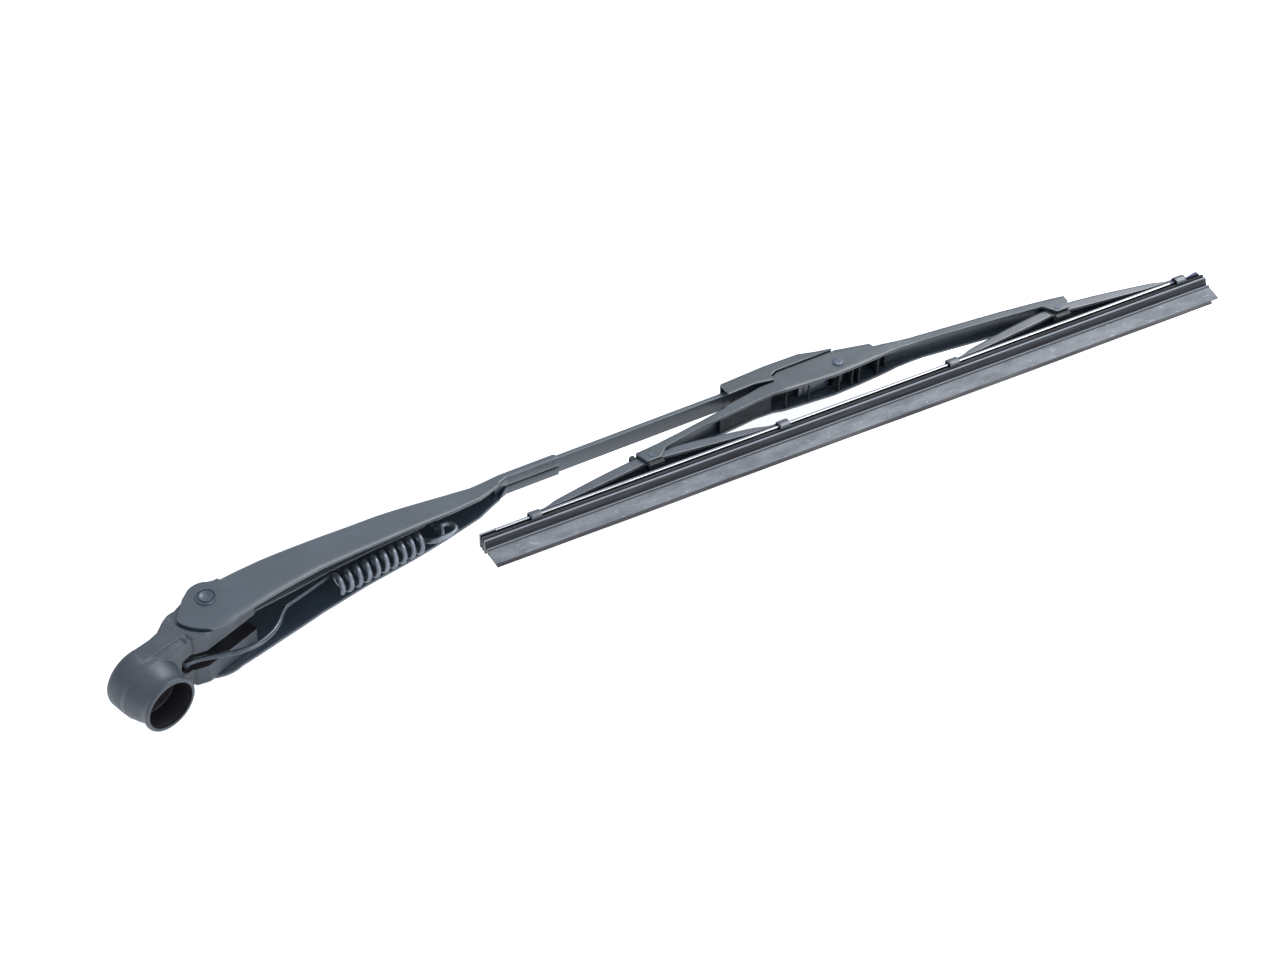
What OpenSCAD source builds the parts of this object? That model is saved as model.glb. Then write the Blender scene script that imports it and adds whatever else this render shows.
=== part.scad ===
// Wiper arm with its blade: die-cast head, sprung sheet-steel channel, flat bar
// with a rolled hook, moulded bridge, two yokes, flexor rails and rubber.
// Frame: +Z along the spindle away from the glass, +X along the arm to the tip,
// origin on the spindle axis in the plane of the skirt's mouth.

/* [Head] */
// Diameter of the cast boss round the spindle
boss_d = 30; // [27:0.5:32]
// Height of the boss above the skirt's mouth
boss_h = 25.4; // [24:0.2:28]
// Height of the tongue above the skirt's mouth
tongue_h = 30; // [29:0.2:31]
// Bore of the skirt that covers the pivot housing
skirt_bore_d = 22.8; // [20:0.2:23]
// Diameter of the skirt's rounded lip
lip_d = 26.2; // [25.6:0.2:27]
// Height of the skirt's hollow
skirt_depth = 11.5; // [9:0.5:12]
// Bore that seats on the wiper spindle
spindle_d = 10; // [8:0.2:12]
// Diameter of the nut recess in the top
nut_recess_d = 18; // [16:0.5:19]
// Depth of the nut recess
nut_recess_h = 6.4; // [5:0.2:8]
// Width of the slot for the spring link
slot_w = 9.4; // [7:0.2:11]

/* [Arm] */
// Distance along X from the spindle to the arm pivot
pivot_x = 41.5; // [40.5:0.5:44]
// Height of the arm pivot above the skirt's mouth
pivot_z = 24.7; // [24.2:0.1:25.2]
// Diameter of the arm pivot rivet's shank
rivet_d = 6; // [5:0.2:7]
// Diameter of the rivet's head
rivet_head_d = 9.4; // [8.4:0.2:11]
// Length of the channel from the arm pivot to its crimped end
channel_len = 172; // [160:1:190]
// Width of the channel across its ears
ear_w = 32; // [31.6:0.2:34]
// Radius of the ears below the pivot
ear_r = 17.8; // [17:0.2:18.2]
// Thickness of the channel's sheet
sheet_t = 1.5; // [1.2:0.1:1.7]
// Thickness of the sheet where it is crimped round the bar
crimp_t = 0.9; // [0.8:0.1:1.2]
// Width of the flat bar
bar_w = 9; // [8:0.1:9.2]
// Thickness of the flat bar
bar_t = 2.8; // [2.4:0.1:3.2]
// Length of the bar from the channel's end to the centre of its hook
bar_len = 133.6; // [110:0.5:150]
// Inside radius of the hook
hook_r = 3.3; // [3:0.1:3.8]
// Length of the hook's return leg
hook_leg = 13; // [9:0.5:15]
// Slope of the bar towards the glass, in degrees
bar_slope = 16.8; // [16:0.1:17.6]

/* [Spring] */
// Wire diameter of the tension spring
spring_wire = 2.4; // [2:0.1:2.6]
// Mean diameter of the spring's coil
spring_d = 7.8; // [7:0.1:8.2]
// Turns of the coil
spring_turns = 9; // [8:1:9]
// Wire diameter of the spring link
link_wire = 2.4; // [2:0.1:2.6]
// Diameter of the pin that holds the link
link_pin_d = 3.4; // [3:0.1:4]

/* [Blade] */
// Slope of the blade towards the glass, in degrees
blade_slope = 17.9; // [17:0.1:18.6]
// Distance from the blade pivot to the near yoke's pivot
near_reach = 104; // [98:0.5:112]
// Distance from the blade pivot to the far yoke's pivot
far_reach = 110.8; // [104:0.5:118]
// Width of the bridge over the blade pivot
bridge_w = 13.4; // [13.2:0.1:13.8]
// Wall of the bridge
bridge_wall = 1.35; // [1.2:0.05:1.4]
// Diameter of the blade pivot pin
blade_pin_d = 3.8; // [3.2:0.1:4.2]
// Half of each yoke's length, pivot to claw
yoke_half = 62.6; // [58:0.2:64]
// Width of a yoke between its outer faces
yoke_w = 8.4; // [7.8:0.1:8.6]
// Wall of a yoke
yoke_wall = 1.2; // [1:0.05:1.4]
// Diameter of the yoke pivot pins
yoke_pin_d = 2.4; // [2:0.1:2.8]
// Length of a claw along the blade
claw_len = 5; // [4:0.2:8]

/* [Rubber] */
// Length of the rubber on the near side of the blade pivot
rubber_near = 193; // [190:0.5:196]
// Length of the rubber on the far side of the blade pivot
rubber_far = 186; // [183:0.5:190]
// Width of the rubber's back
back_w = 8; // [7.4:0.1:8.2]
// Thickness of the wiping lip at its edge
lip_t = 0.9; // [0.6:0.05:1.2]
// Height of the wiping lip
lip_h = 9; // [8:0.1:9.6]
// Length of the relieved edge at the far end of the lip
lip_relief = 4.5; // [3:0.5:8]
// Length by which the rubber's back stops short of its far end
back_cut = 9; // [2:0.5:9.5]
// Width of a flexor rail
rail_w = 3; // [2.8:0.05:3.1]
// Thickness of a flexor rail
rail_t = 1.1; // [0.9:0.05:1.2]

/* [Hidden] */
$fn = 64;
e = 0.01;
run_gap = 0.05;      // radial clearance of a pin that turns
side_gap = 0.3;      // clearance between faces that move past each other
slip = 0.1;          // clearance of a piece that slides in and stays

// Head, derived
boss_r = boss_d / 2;
tongue_y = ear_w / 2 - sheet_t - side_gap;
recess_r = ear_r + 0.9;
web_top = boss_h - nut_recess_h;
link_x = 20.9;
link_z = 16;

// Channel, derived: stations along the channel as shares of its length
function cx(f) = pivot_x + f * channel_len;
ear_y = ear_w / 2;
hump_r = 9.1;
crimp_x = cx(1);
crimp_len = 27;
crimp_y = bar_w / 2 + slip + crimp_t;
bar_top_z = pivot_z - 35;
tan_b = tan(bar_slope);
function bar_z(x) = bar_top_z - (x - crimp_x) * tan_b;
// upper edge of the channel's side
top_pts = [[cx(0.05), pivot_z + 5.3], [cx(0.11), pivot_z + 3.9],
    [cx(0.18), pivot_z + 2], [cx(0.353), pivot_z - 4.2],
    [cx(0.5), pivot_z - 10.2], [cx(0.648), pivot_z - 17.6],
    [cx(0.76), pivot_z - 23.5], [cx(0.81), pivot_z - 24.9],
    [crimp_x - crimp_len, bar_z(crimp_x - crimp_len) + crimp_t],
    [crimp_x, bar_z(crimp_x) + crimp_t]];
// lower edge of the channel's side, from the crimp back to the ear
low_pts = [[crimp_x, bar_z(crimp_x) - bar_t - crimp_t],
    [crimp_x - crimp_len + 2,
     bar_z(crimp_x - crimp_len + 2) - bar_t - crimp_t],
    [cx(0.75), pivot_z - 32.8], [cx(0.65), pivot_z - 30.8],
    [cx(0.54), pivot_z - 27.7], [cx(0.4), pivot_z - 23.4],
    [cx(0.27), pivot_z - 20.2], [cx(0.14), pivot_z - 18.6]];
// half width of the channel in plan
plan_pts = [[cx(0), ear_y], [cx(0.05), ear_y], [cx(0.2), ear_y - 0.9],
    [cx(0.43), ear_y - 4.3], [cx(0.55), ear_y - 5.8], [cx(0.7), ear_y - 8.8],
    [crimp_x - crimp_len - 4, crimp_y]];

// Spring and link, derived: the coil slopes down to a tab on the channel,
// and the link hooks over the top of its first turn
tab_x = cx(0.64);
tab_z = pivot_z - 30.8;
coil_a = -8;
function coil_z(x) = tab_z + (x - tab_x) * tan(coil_a);
coil_x0 = pivot_x + 55.7;
coil_x1 = tab_x - 13;
coil_r = spring_d / 2;
catch_x = coil_x0;
catch_z = coil_z(coil_x0) + coil_r + 1;
eye_r = link_pin_d / 2 + slip + link_wire / 2;
catch_r = (spring_wire + link_wire) / 2 + 0.2;

// Bar and blade, derived. Bar frame: origin on the bar's top at the crimp.
hook_out = hook_r + bar_t;
pin_ds = 8.9;        // blade pivot from the hook's centre, along the bar
pin_dt = -3.9;       // and square to it
module bar_frame() translate([crimp_x, 0, bar_top_z])
    rotate([0, bar_slope, 0]) children();
pin_s = bar_len + pin_ds;
pin_t = -hook_out + pin_dt;
blade_x = crimp_x + pin_s * cos(bar_slope) + pin_t * sin(bar_slope);
blade_z = bar_top_z - pin_s * sin(bar_slope) + pin_t * cos(bar_slope);
module blade_frame() translate([blade_x, 0, blade_z])
    rotate([0, blade_slope, 0]) children();

// Bridge, derived
wide_y = bridge_w / 2;
arm_y = wide_y - 0.9;
end_y = yoke_w / 2 + 1.75;
pivot_w = -13.4;     // height of the yoke pivots in the blade frame
rail_top = -22.2;    // upper face of the rails in the blade frame

// Extrudes an X-Z outline across Y, from y0 to y1
module across(y0, y1) translate([0, y1, 0]) rotate([90, 0, 0])
    linear_extrude(y1 - y0) children();
// Cylinder along Y from y0 to y1
module rod(r, y0, y1) translate([0, y1, 0]) rotate([90, 0, 0])
    cylinder(r = r, h = y1 - y0);
// Mirrors its children to both sides of the Y = 0 plane
module both() { children(); mirror([0, 1, 0]) children(); }

// Point of a smooth curve through p[i] and p[i + 1] at share t
function curve_pt(p, i, t) =
    let (n = len(p) - 1, a = p[max(i - 1, 0)], b = p[i], c = p[i + 1],
         d = p[min(i + 2, n)])
    0.5 * (2 * b + (c - a) * t + (2 * a - 5 * b + 4 * c - d) * t * t
           + (3 * b - a - 3 * c + d) * t * t * t);
function curve(p, k) = concat([for (i = [0 : len(p) - 2], j = [0 : k - 1])
    curve_pt(p, i, j / k)], [p[len(p) - 1]]);
// Direction of a path at point i, and v laid square to direction t
function unit(v) = v / norm(v);
function along(p, i) = unit(p[min(i + 1, len(p) - 1)] - p[max(i - 1, 0)]);
function square(v, t) = unit(v - t * (v * t));
// Side directions carried along a path without twist
function sides_of(p, v, i = 0) = i >= len(p) ? [] :
    let (b = square(v, along(p, i))) concat([b], sides_of(p, b, i + 1));
// Round wire of radius r along the 3-D points p; v is square to its start
module wire(p, r, v, k = 8) {
    n = len(p);
    side = sides_of(p, v);
    pts = [for (i = [0 : n - 1]) let (b = side[i], c = cross(along(p, i), b))
        for (j = [0 : k - 1])
            p[i] + r * (cos(360 * j / k) * b + sin(360 * j / k) * c)];
    polyhedron(pts, concat([[for (j = [0 : k - 1]) j]],
        [for (i = [0 : n - 2], j = [0 : k - 1])
            let (a = i * k + j, b = i * k + (j + 1) % k)
            each [[a, a + k, b + k], [a, b + k, b]]],
        [[for (j = [k - 1 : -1 : 0]) (n - 1) * k + j]]), convexity = 8);
}

// Die-cast head: boss and flared skirt, tongue between the ears, slotted
// cheeks, spindle bore and nut recess.
module head() color("#3b3f45") difference() {
    union() {
        // boss, stepped band and skirt
        rotate_extrude() polygon([[0, 0], [lip_d / 2 - 0.5, 0], [lip_d / 2, 0.6], [lip_d / 2, 1.6],
            [lip_d / 2 - 0.55, 2.6], [boss_r - 2.5, 5.2], [boss_r - 1.5, 8],
            [boss_r - 0.7, 11.4], [boss_r - 0.5, 12.4], [boss_r - 0.25, 12.6],
            [boss_r - 0.25, 15.4], [boss_r, 15.6], [boss_r, boss_h - 2.2],
            [boss_r - 0.5, boss_h - 1], [boss_r - 1.4, boss_h - 0.3],
            [boss_r - 2.4, boss_h], [0, boss_h]]);
        // shoulders, as wide as the boss
        difference() {
            across(-boss_r, boss_r) polygon([[0, 15.6], [0, boss_h - 1.4],
                [10, boss_h - 1.4], [15, boss_h - 0.6],
                [20.5, tongue_h - 2.2], [24, tongue_h - 0.9],
                [32, tongue_h - 0.6], [32, 15.6]]);
            translate([pivot_x, 0, pivot_z]) rod(recess_r, -30, 30);
        }
        across(-boss_r + 1.2, boss_r - 1.2) polygon([[0, 14],
            [0, boss_h - 0.7], [10, boss_h - 0.6], [15, boss_h + 0.2],
            [20.5, tongue_h - 1.2], [24, tongue_h], [27, tongue_h],
            [27, 14]]);
        // lower body, stepped in below the shoulders
        across(-boss_r + 1.5, boss_r - 1.5) polygon([[5, 12.2], [5, 16],
            [28, 16], [28, 13.4], [22.6, 12.2]]);
        // shelf that follows the ears' lower edge
        difference() {
            across(-boss_r, boss_r) polygon([[22.4, 16], [22.4, 12],
                [22.9, 11.5], [28.2, 9.35], [33, 9.5], [33, 16]]);
            translate([pivot_x, 0, pivot_z]) rod(recess_r, -30, 30);
        }
        // tongue and cheeks
        across(-tongue_y, tongue_y) union() {
            polygon([[20, 12.2], [20, tongue_h - 1.8],
                [24, tongue_h - 0.3], [28, tongue_h - 0.3],
                [34, pivot_z + 6.6], [pivot_x, pivot_z + 4],
                [pivot_x + 8, pivot_z], [pivot_x + 15.3, pivot_z - 8.6],
                [pivot_x + 15.3, pivot_z - 13.2],
                [pivot_x + 14.2, pivot_z - 13.9],
                [28.4, 9.3], [22.6, 12.2]]);
            translate([pivot_x, pivot_z]) circle(r = 8.4);
        }
    }
    // hollow of the skirt
    translate([0, 0, -1]) cylinder(r = skirt_bore_d / 2, h = skirt_depth + 1);
    // spindle bore and nut recess
    translate([0, 0, skirt_depth - 1])
        cylinder(r = spindle_d / 2, h = boss_h);
    translate([0, 0, web_top]) cylinder(r = nut_recess_d / 2, h = boss_h);
    // slot for the spring link, closed above at its inner end
    across(-slot_w / 2, slot_w / 2) polygon([[link_x, -5], [link_x, 22],
        [24.5, 22], [24.5, 50], [80, 50], [80, -5]]);
    translate([link_x, 0, 0]) cylinder(r = slot_w / 2, h = 22);
    // pivot and link-pin bores
    translate([pivot_x, 0, pivot_z]) rod(rivet_d / 2 + run_gap, -40, 40);
    translate([link_x, 0, link_z]) rod(link_pin_d / 2, -slot_w / 2 - 4,
        slot_w / 2 + 4);
}

// Pin across the slot, under the eye of the link
module link_pin() color("#8a8d91") translate([link_x, 0, link_z])
    rod(link_pin_d / 2, -slot_w / 2 - 4, slot_w / 2 + 4);

// Rivet through both ears and the tongue, with ringed and dimpled heads
module arm_rivet() color("#4a4e54") translate([pivot_x, 0, pivot_z]) {
    rod(rivet_d / 2, -ear_y - 0.2, ear_y + 0.2);
    both() rotate([90, 0, 0]) translate([0, 0, ear_y]) rotate_extrude()
        polygon([[0, 0], [rivet_head_d / 2, 0], [rivet_head_d / 2, 0.4],
            [rivet_head_d / 2 - 0.4, 0.8], [rivet_head_d / 2 - 1, 0.8],
            [rivet_head_d / 2 - 1.3, 0.35], [1, 0.5], [0, 0.2]]);
}

// Outline of the channel's side with its ear
module channel_side() {
    union() {
        polygon(concat([[pivot_x - 6.6, pivot_z + 6.6]],
            [[pivot_x, pivot_z + 7]], top_pts, low_pts,
            [[pivot_x + 3, pivot_z - ear_r + 0.2], [pivot_x, pivot_z]]));
        translate([pivot_x, pivot_z]) circle(r = hump_r);
        intersection() {
            translate([pivot_x, pivot_z]) circle(r = ear_r, $fn = 96);
            polygon([[pivot_x - 6.4, pivot_z + 6.45], [pivot_x + 3, pivot_z],
                [pivot_x + 5, pivot_z - 30], [pivot_x - 30, pivot_z - 30],
                [pivot_x - 30, pivot_z - 15.2]]);
        }
    }
}
// Outline of the channel in plan, drawn in by d
module channel_plan(d) polygon(concat([[pivot_x - 40, ear_y - d]],
    [for (p = plan_pts) [p[0], p[1] - d]],
    [[crimp_x + 1, crimp_y - d], [crimp_x + 1, d - crimp_y]],
    [for (i = [len(plan_pts) - 1 : -1 : 0])
        [plan_pts[i][0], d - plan_pts[i][1]]],
    [[pivot_x - 40, d - ear_y]]));

// Sheet-steel channel: ears, tapering walls, roof, spring tab and the end
// crimped round the bar
module arm_channel() color("#454a51") difference() {
    union() {
        difference() {
            intersection() {
                across(-40, 40) channel_side();
                translate([0, 0, -100]) linear_extrude(200) channel_plan(0);
            }
            // hollow between the walls, under the roof
            intersection() {
                across(-40, 40) polygon(concat(
                    [[pivot_x - 40, 100], [cx(0.066), 100]],
                    [for (i = [1 : 7]) [top_pts[i][0] - (i == 1 ? 7.7 : 0),
                        top_pts[i][1] - sheet_t + (i == 1 ? 1.2 : 0)]],
                    [[crimp_x - crimp_len, bar_z(crimp_x - crimp_len)],
                     [crimp_x - crimp_len, -100], [pivot_x - 40, -100]]));
                translate([0, 0, -100]) linear_extrude(200)
                    channel_plan(sheet_t);
            }
        }
        // tab that anchors the spring
        across(-3, 3) polygon([[tab_x - sheet_t, tab_z - 3],
            [tab_x - sheet_t, lookup(tab_x, top_pts) - sheet_t / 2],
            [tab_x, lookup(tab_x, top_pts) - sheet_t / 2],
            [tab_x, tab_z - 3]]);
    }
    // seat of the bar in the crimp, and the seam below it
    bar_frame() translate([-60, -bar_w / 2 - slip, -bar_t - slip / 2])
        cube([70, bar_w + 2 * slip, bar_t + slip]);
    bar_frame() translate([-40, -0.5, -bar_t - 9]) cube([50, 1, 9]);
    // hole in the tab and pivot holes in the ears
    translate([tab_x - 5, 0, tab_z + 2.8]) rotate([0, 90, 0])
        cylinder(r = spring_wire / 2 + 0.5, h = 8);
    translate([pivot_x, 0, pivot_z]) rod(rivet_d / 2, -40, 40);
}

// Bent wire link: eye round the pin, bent shank, hook over the spring
link_path = concat(
    [for (i = [0 : 12]) let (a = -110 - 250 * (12 - i) / 12)
        [link_x + eye_r * cos(a), link_z + eye_r * sin(a)]],
    curve([[link_x + 2.2, link_z - 3.6], [27, 10.6], [33, 7], [40, 3],
        [48, 0.7], [56, 1.2], [62, 3.4], [67.5, 6.9], [72.2, 8.8],
        [79, catch_z + catch_r - 0.2], [catch_x - 3, catch_z + catch_r],
        [catch_x - 0.5, catch_z + catch_r]], 4),
    [for (i = [0 : 9]) let (a = 80 - 21 * i)
        [catch_x + catch_r * cos(a), catch_z + catch_r * sin(a)]]);
module spring_link() color("#6d7278")
    wire([for (p = link_path) [p[0], 0, p[1]]], link_wire / 2, [0, 1, 0]);

// Tension spring in one wire: the coil, with its first turn raised a little
// for the link, and a hook that runs under the tab and back through its hole
function raise(a) = a < 180 ? (1 + cos(a)) / 2 : 0;
end_z = coil_z(coil_x1) + coil_r;
spring_path = concat(
    [for (a = [-200 : 20 : 360 * spring_turns])
        let (s = (coil_x1 - coil_x0) * a / 360 / spring_turns)
        [coil_x0 + s - coil_r * cos(a) * sin(coil_a) - raise(a) / 2,
         coil_r * sin(a),
         coil_z(coil_x0 + s) + coil_r * cos(a) * cos(coil_a) + raise(a)]],
    curve([[coil_x1 + 1, 1.7, end_z - 0.3], [coil_x1 + 2.2, 2.4, end_z - 1.7],
        [coil_x1 + 2.8, 1.8, end_z - 4.2], [coil_x1 + 3.4, 0.8, end_z - 6.4],
        [coil_x1 + 5.2, 0.1, tab_z - 2.6], [tab_x - 4, 0, tab_z - 3.7],
        [tab_x, 0, tab_z - 4.5], [tab_x + 2.4, 0, tab_z - 3.7],
        [tab_x + 3.6, 0, tab_z - 1.3], [tab_x + 2.8, 0, tab_z + 1.4],
        [tab_x + 0.4, 0, tab_z + 2.6], [tab_x - 4, 0, tab_z + 2.8]], 4));
module tension_spring() color("#7b8086")
    wire(spring_path, spring_wire / 2, [1, 0, 0]);

// Flat bar with its rolled hook
module arm_bar() color("#4d5259") bar_frame() {
    translate([-crimp_len - 4, -bar_w / 2, -bar_t])
        cube([bar_len + crimp_len + 4, bar_w, bar_t]);
    translate([bar_len, 0, -hook_out]) difference() {
        rod(hook_out, -bar_w / 2, bar_w / 2);
        rod(hook_r, -bar_w, bar_w);
        translate([-20, -20, -20]) cube([20, 40, 40]);
    }
    translate([bar_len - hook_leg, -bar_w / 2, -2 * hook_out])
        cube([hook_leg, bar_w, bar_t]);
}

// Moulded adapter in the hook: drum, cheeks, pin boss and long tongue
adapter_y = wide_y - bridge_wall - 0.2;
tongue_w = 2 * (arm_y - bridge_wall - side_gap);
module adapter() color("#2e3136") bar_frame() difference() {
    union() {
        translate([bar_len, 0, -hook_out])
            rod(hook_r - slip, -bar_w / 2 - slip, bar_w / 2 + slip);
        // block that fills the hook, behind the drum
        across(-bar_w / 2 - slip, bar_w / 2 + slip) polygon([
            [bar_len, -bar_t - slip], [bar_len, -2 * hook_out + bar_t + slip],
            [bar_len - 12, -2 * hook_out + bar_t + slip],
            [bar_len - 20, -hook_out - 2.6], [bar_len - 20, -hook_out],
            [bar_len - 14, -bar_t - slip]]);
        // tongue that runs back under the bar
        across(-tongue_w / 2, tongue_w / 2) polygon([
            [bar_len - 18, -hook_out - 2.4], [bar_len - 45, -hook_out - 2.6],
            [bar_len - 46, -hook_out - 1.6], [bar_len - 46, -hook_out],
            [bar_len - 18, -hook_out + 0.4]]);
        // cheeks beside the hook, joining the drum to the pin boss
        both() across(bar_w / 2 + slip, adapter_y) hull() {
            translate([bar_len - 6, -hook_out]) circle(r = hook_r);
            translate([pin_s, pin_t]) circle(r = blade_pin_d / 2 + 1.4);
        }
        translate([pin_s, 0, pin_t])
            rod(blade_pin_d / 2 + 1.4, -adapter_y, adapter_y);
    }
    translate([pin_s, 0, pin_t]) rod(blade_pin_d / 2 + run_gap, -20, 20);
    // relief where the hook's outside passes the pin boss
    translate([bar_len, 0, -hook_out]) difference() {
        rod(hook_out + slip, -bar_w / 2 - slip, bar_w / 2 + slip);
        rod(hook_r - slip, -20, 20);
        translate([-20, -20, -20]) cube([20, 40, 40]);
    }
}

// Snap-on cover over the hook: roof, skirts and two cross ribs
cover_in = wide_y + 0.25;
cover_out = cover_in + 0.75;
cover_roof = 1.2;
module cover() color("#34373c") blade_frame() {
    difference() {
        across(-cover_out, cover_out) polygon([[-55.4, 11.5], [-55.6, 3.2],
            [-41.7, 3.9], [-34.3, 2.7], [-32.4, 2.3], [-31.9, 5.6],
            [-28.8, 7.2], [1.2, 7.9], [1, 8.9], [-14.4, 13.1],
            [-32.2, 13.1]]);
        across(-cover_in, cover_in) polygon([[-60, 11.5 - cover_roof],
            [-60, -5], [3, -5], [3, 8.9 - cover_roof - 0.5],
            [-14.7, 13.1 - cover_roof], [-32.2, 13.1 - cover_roof],
            [-55.4, 11.5 - cover_roof]]);
    }
    for (u = [-47, -22]) difference() {
        across(-cover_in - 0.2, cover_in + 0.2) polygon([[u - 0.6, 8],
            [u - 0.6, 12], [u + 0.6, 12], [u + 0.6, 8]]);
        rotate([0, -blade_slope, 0]) translate([-blade_x, 0, -blade_z]) bar_frame()
                translate([0, -20, -30]) cube([bar_len, 40, 30 + slip]);
    }
}

// Blade pivot pin with a thin head on each side of the bridge
module blade_pin() color("#4a4e54") blade_frame() {
    rod(blade_pin_d / 2, -wide_y, wide_y);
    both() rotate([90, 0, 0]) translate([0, 0, wide_y])
        cylinder(r1 = blade_pin_d / 2 + 0.8, r2 = blade_pin_d / 2 + 0.5,
            h = 0.8);
}

// Outline of the bridge in plan, drawn in by d
module bridge_plan(d) {
    half = [[-near_reach - 5.6, end_y], [-near_reach + 9, end_y],
        [-near_reach + 20, arm_y], [-46, arm_y], [-31, wide_y],
        [24, wide_y], [38, arm_y], [far_reach - 20, arm_y],
        [far_reach - 9, end_y], [far_reach + 6.8, end_y]];
    polygon(concat([for (p = half) [p[0], p[1] - d]],
        [for (i = [len(half) - 1 : -1 : 0]) [half[i][0], d - half[i][1]]]));
}
// Upper line of the bridge from near end to far end
bridge_top = [[-near_reach - 5.6, -9], [-near_reach + 6, -7.8],
    [-near_reach + 18, -5.9], [-74, -3.9], [-39.5, 2.3], [-33, 2.3],
    [-31.4, 5.2], [-28.4, 6.9], [1.8, 7.7], [2.5, 8.6], [19.1, 5.1],
    [20.2, 2.7], [31.5, 1.4], [44, 0.4], [far_reach - 24, -3.2],
    [far_reach, -6.2], [far_reach + 6.8, -7.3]];
// Lower line of the bridge from far end to near end
bridge_low = [[far_reach + 6.8, -11.4], [far_reach + 5, -15.8],
    [far_reach - 1.6, -15.8], [far_reach - 6, -9.8],
    [far_reach - 18, -8.6], [44, -4.2], [30, -4.1], [18.4, -5.2],
    [9, -6], [-5, -6.8], [-16, -6.1], [-30.5, -5.3], [-36, -4.4],
    [-45, -4.7], [-57, -6.1], [-near_reach + 28, -8.1],
    [-near_reach + 8, -12], [-near_reach + 3, -16.6],
    [-near_reach - 3.6, -16.8], [-near_reach - 5.6, -11.2]];

// Moulded bridge: two tapering arms with a roof, a tall open centre with
// cross ribs, pivot bosses and an end block over each yoke
module bridge() color("#3a3e44") blade_frame() difference() {
    union() {
        difference() {
            intersection() {
                across(-20, 20) polygon(concat(bridge_top, bridge_low));
                translate([0, 0, -40]) linear_extrude(80) bridge_plan(0);
            }
            // hollow: open below everywhere, open above over the hook
            intersection() {
                across(-20, 20) polygon(concat(
                    [[-near_reach - 8, -10], [-near_reach + 6, -8.9]],
                    [[-near_reach + 18, -7.1], [-74, -5.1], [-60, -2.6],
                     [-60, 20], [2.2, 20], [2.7, 7.2], [18, 3.9],
                     [19.2, 1.5], [31.5, 0.1], [44, -0.9],
                     [far_reach - 24, -4.5], [far_reach, -7.5],
                     [far_reach + 9, -8.9], [far_reach + 9, -30],
                     [-near_reach - 8, -30]]));
                translate([0, 0, -40]) linear_extrude(80)
                    bridge_plan(bridge_wall);
            }
        }
        // cross ribs between the walls
        for (r = [[-29.6, -5.2, -2.6], [-18, -5.8, -4.4], [-2.5, -6.6, -3.8],
                  [4.7, -6.2, -1], [8.6, -5.9, 4], [19, -5, 2.6],
                  [24.5, -4.5, 0.6]])
            intersection() {
                translate([r[0] - 0.5, -20, r[1]])
                    cube([1, 40, r[2] - r[1]]);
                translate([0, 0, -40]) linear_extrude(80) bridge_plan(0.3);
            }
    }
    rod(blade_pin_d / 2, -20, 20);
    for (u = [-near_reach, far_reach]) translate([u, 0, pivot_w])
        rod(yoke_pin_d / 2, -20, 20);
}

// Outline of a yoke's side: arched, thin at the claws
yoke_top = [[0, -10.7], [8, -10.9], [18, -12], [30, -13.8], [42, -15.9],
    [50, -17.4], [57, -19.8]];
yoke_low = [[57, -20.6], [46, -20.4], [36, -19.4], [20, -17.6], [5, -15.8],
    [0, -15.7]];
function yk(p) = [p[0] * (yoke_half - 5) / 57, p[1]];
rail_out = back_w / 2 + 1;
claw_y = rail_out + 1.1;
module yoke() difference() {
    union() {
        difference() {
            across(-yoke_w / 2, yoke_w / 2) polygon(concat(
                [for (p = yoke_top) yk(p)], [for (p = yoke_low) yk(p)],
                [for (i = [len(yoke_low) - 1 : -1 : 0])
                    [-yk(yoke_low[i])[0], yoke_low[i][1]]],
                [for (i = [len(yoke_top) - 1 : -1 : 0])
                    [-yk(yoke_top[i])[0], yoke_top[i][1]]]));
            across(-yoke_w / 2 + yoke_wall, yoke_w / 2 - yoke_wall) polygon(
                concat([for (p = yoke_top) yk(p - [0, yoke_wall])],
                    [[yoke_half - 2, -18.4 - yoke_wall],
                     [yoke_half - 2, -40], [2 - yoke_half, -40],
                     [2 - yoke_half, -18.4 - yoke_wall]],
                    [for (i = [len(yoke_top) - 1 : -1 : 0])
                        [-yk(yoke_top[i])[0], yoke_top[i][1]
                            - yoke_wall]]));
        }
        // claws that wrap the rails
        for (s = [-1, 1]) translate([s * yoke_half, 0, 0]) {
            difference() {
                rotate([90, 0, 90]) translate([0, 0, -claw_len / 2])
                    linear_extrude(claw_len) polygon([
                        [-claw_y, rail_top - 2.4], [-claw_y, rail_top + 1.4],
                        [-claw_y + 1.2, rail_top + 2.4],
                        [claw_y - 1.2, rail_top + 2.4],
                        [claw_y, rail_top + 1.4], [claw_y, rail_top - 2.4]]);
                translate([-10, -rail_out - 0.2, rail_top - rail_t - 0.2])
                    cube([20, 2 * rail_out + 0.4, rail_t + 1.7]);
                translate([-10, -back_w / 2 - 0.3, rail_top - 9])
                    cube([20, back_w + 0.6, 9]);
            }
            // neck from the arch to the claw
            translate([s > 0 ? -6 : -2, -yoke_w / 2, rail_top + 1.5])
                cube([8, yoke_w, 0.9]);
        }
    }
    translate([0, 0, pivot_w]) rod(yoke_pin_d / 2 + run_gap, -20, 20);
}
module near_yoke() color("#43474e") blade_frame()
    translate([-near_reach, 0, 0]) yoke();
module far_yoke() color("#43474e") blade_frame()
    translate([far_reach, 0, 0]) yoke();

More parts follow.
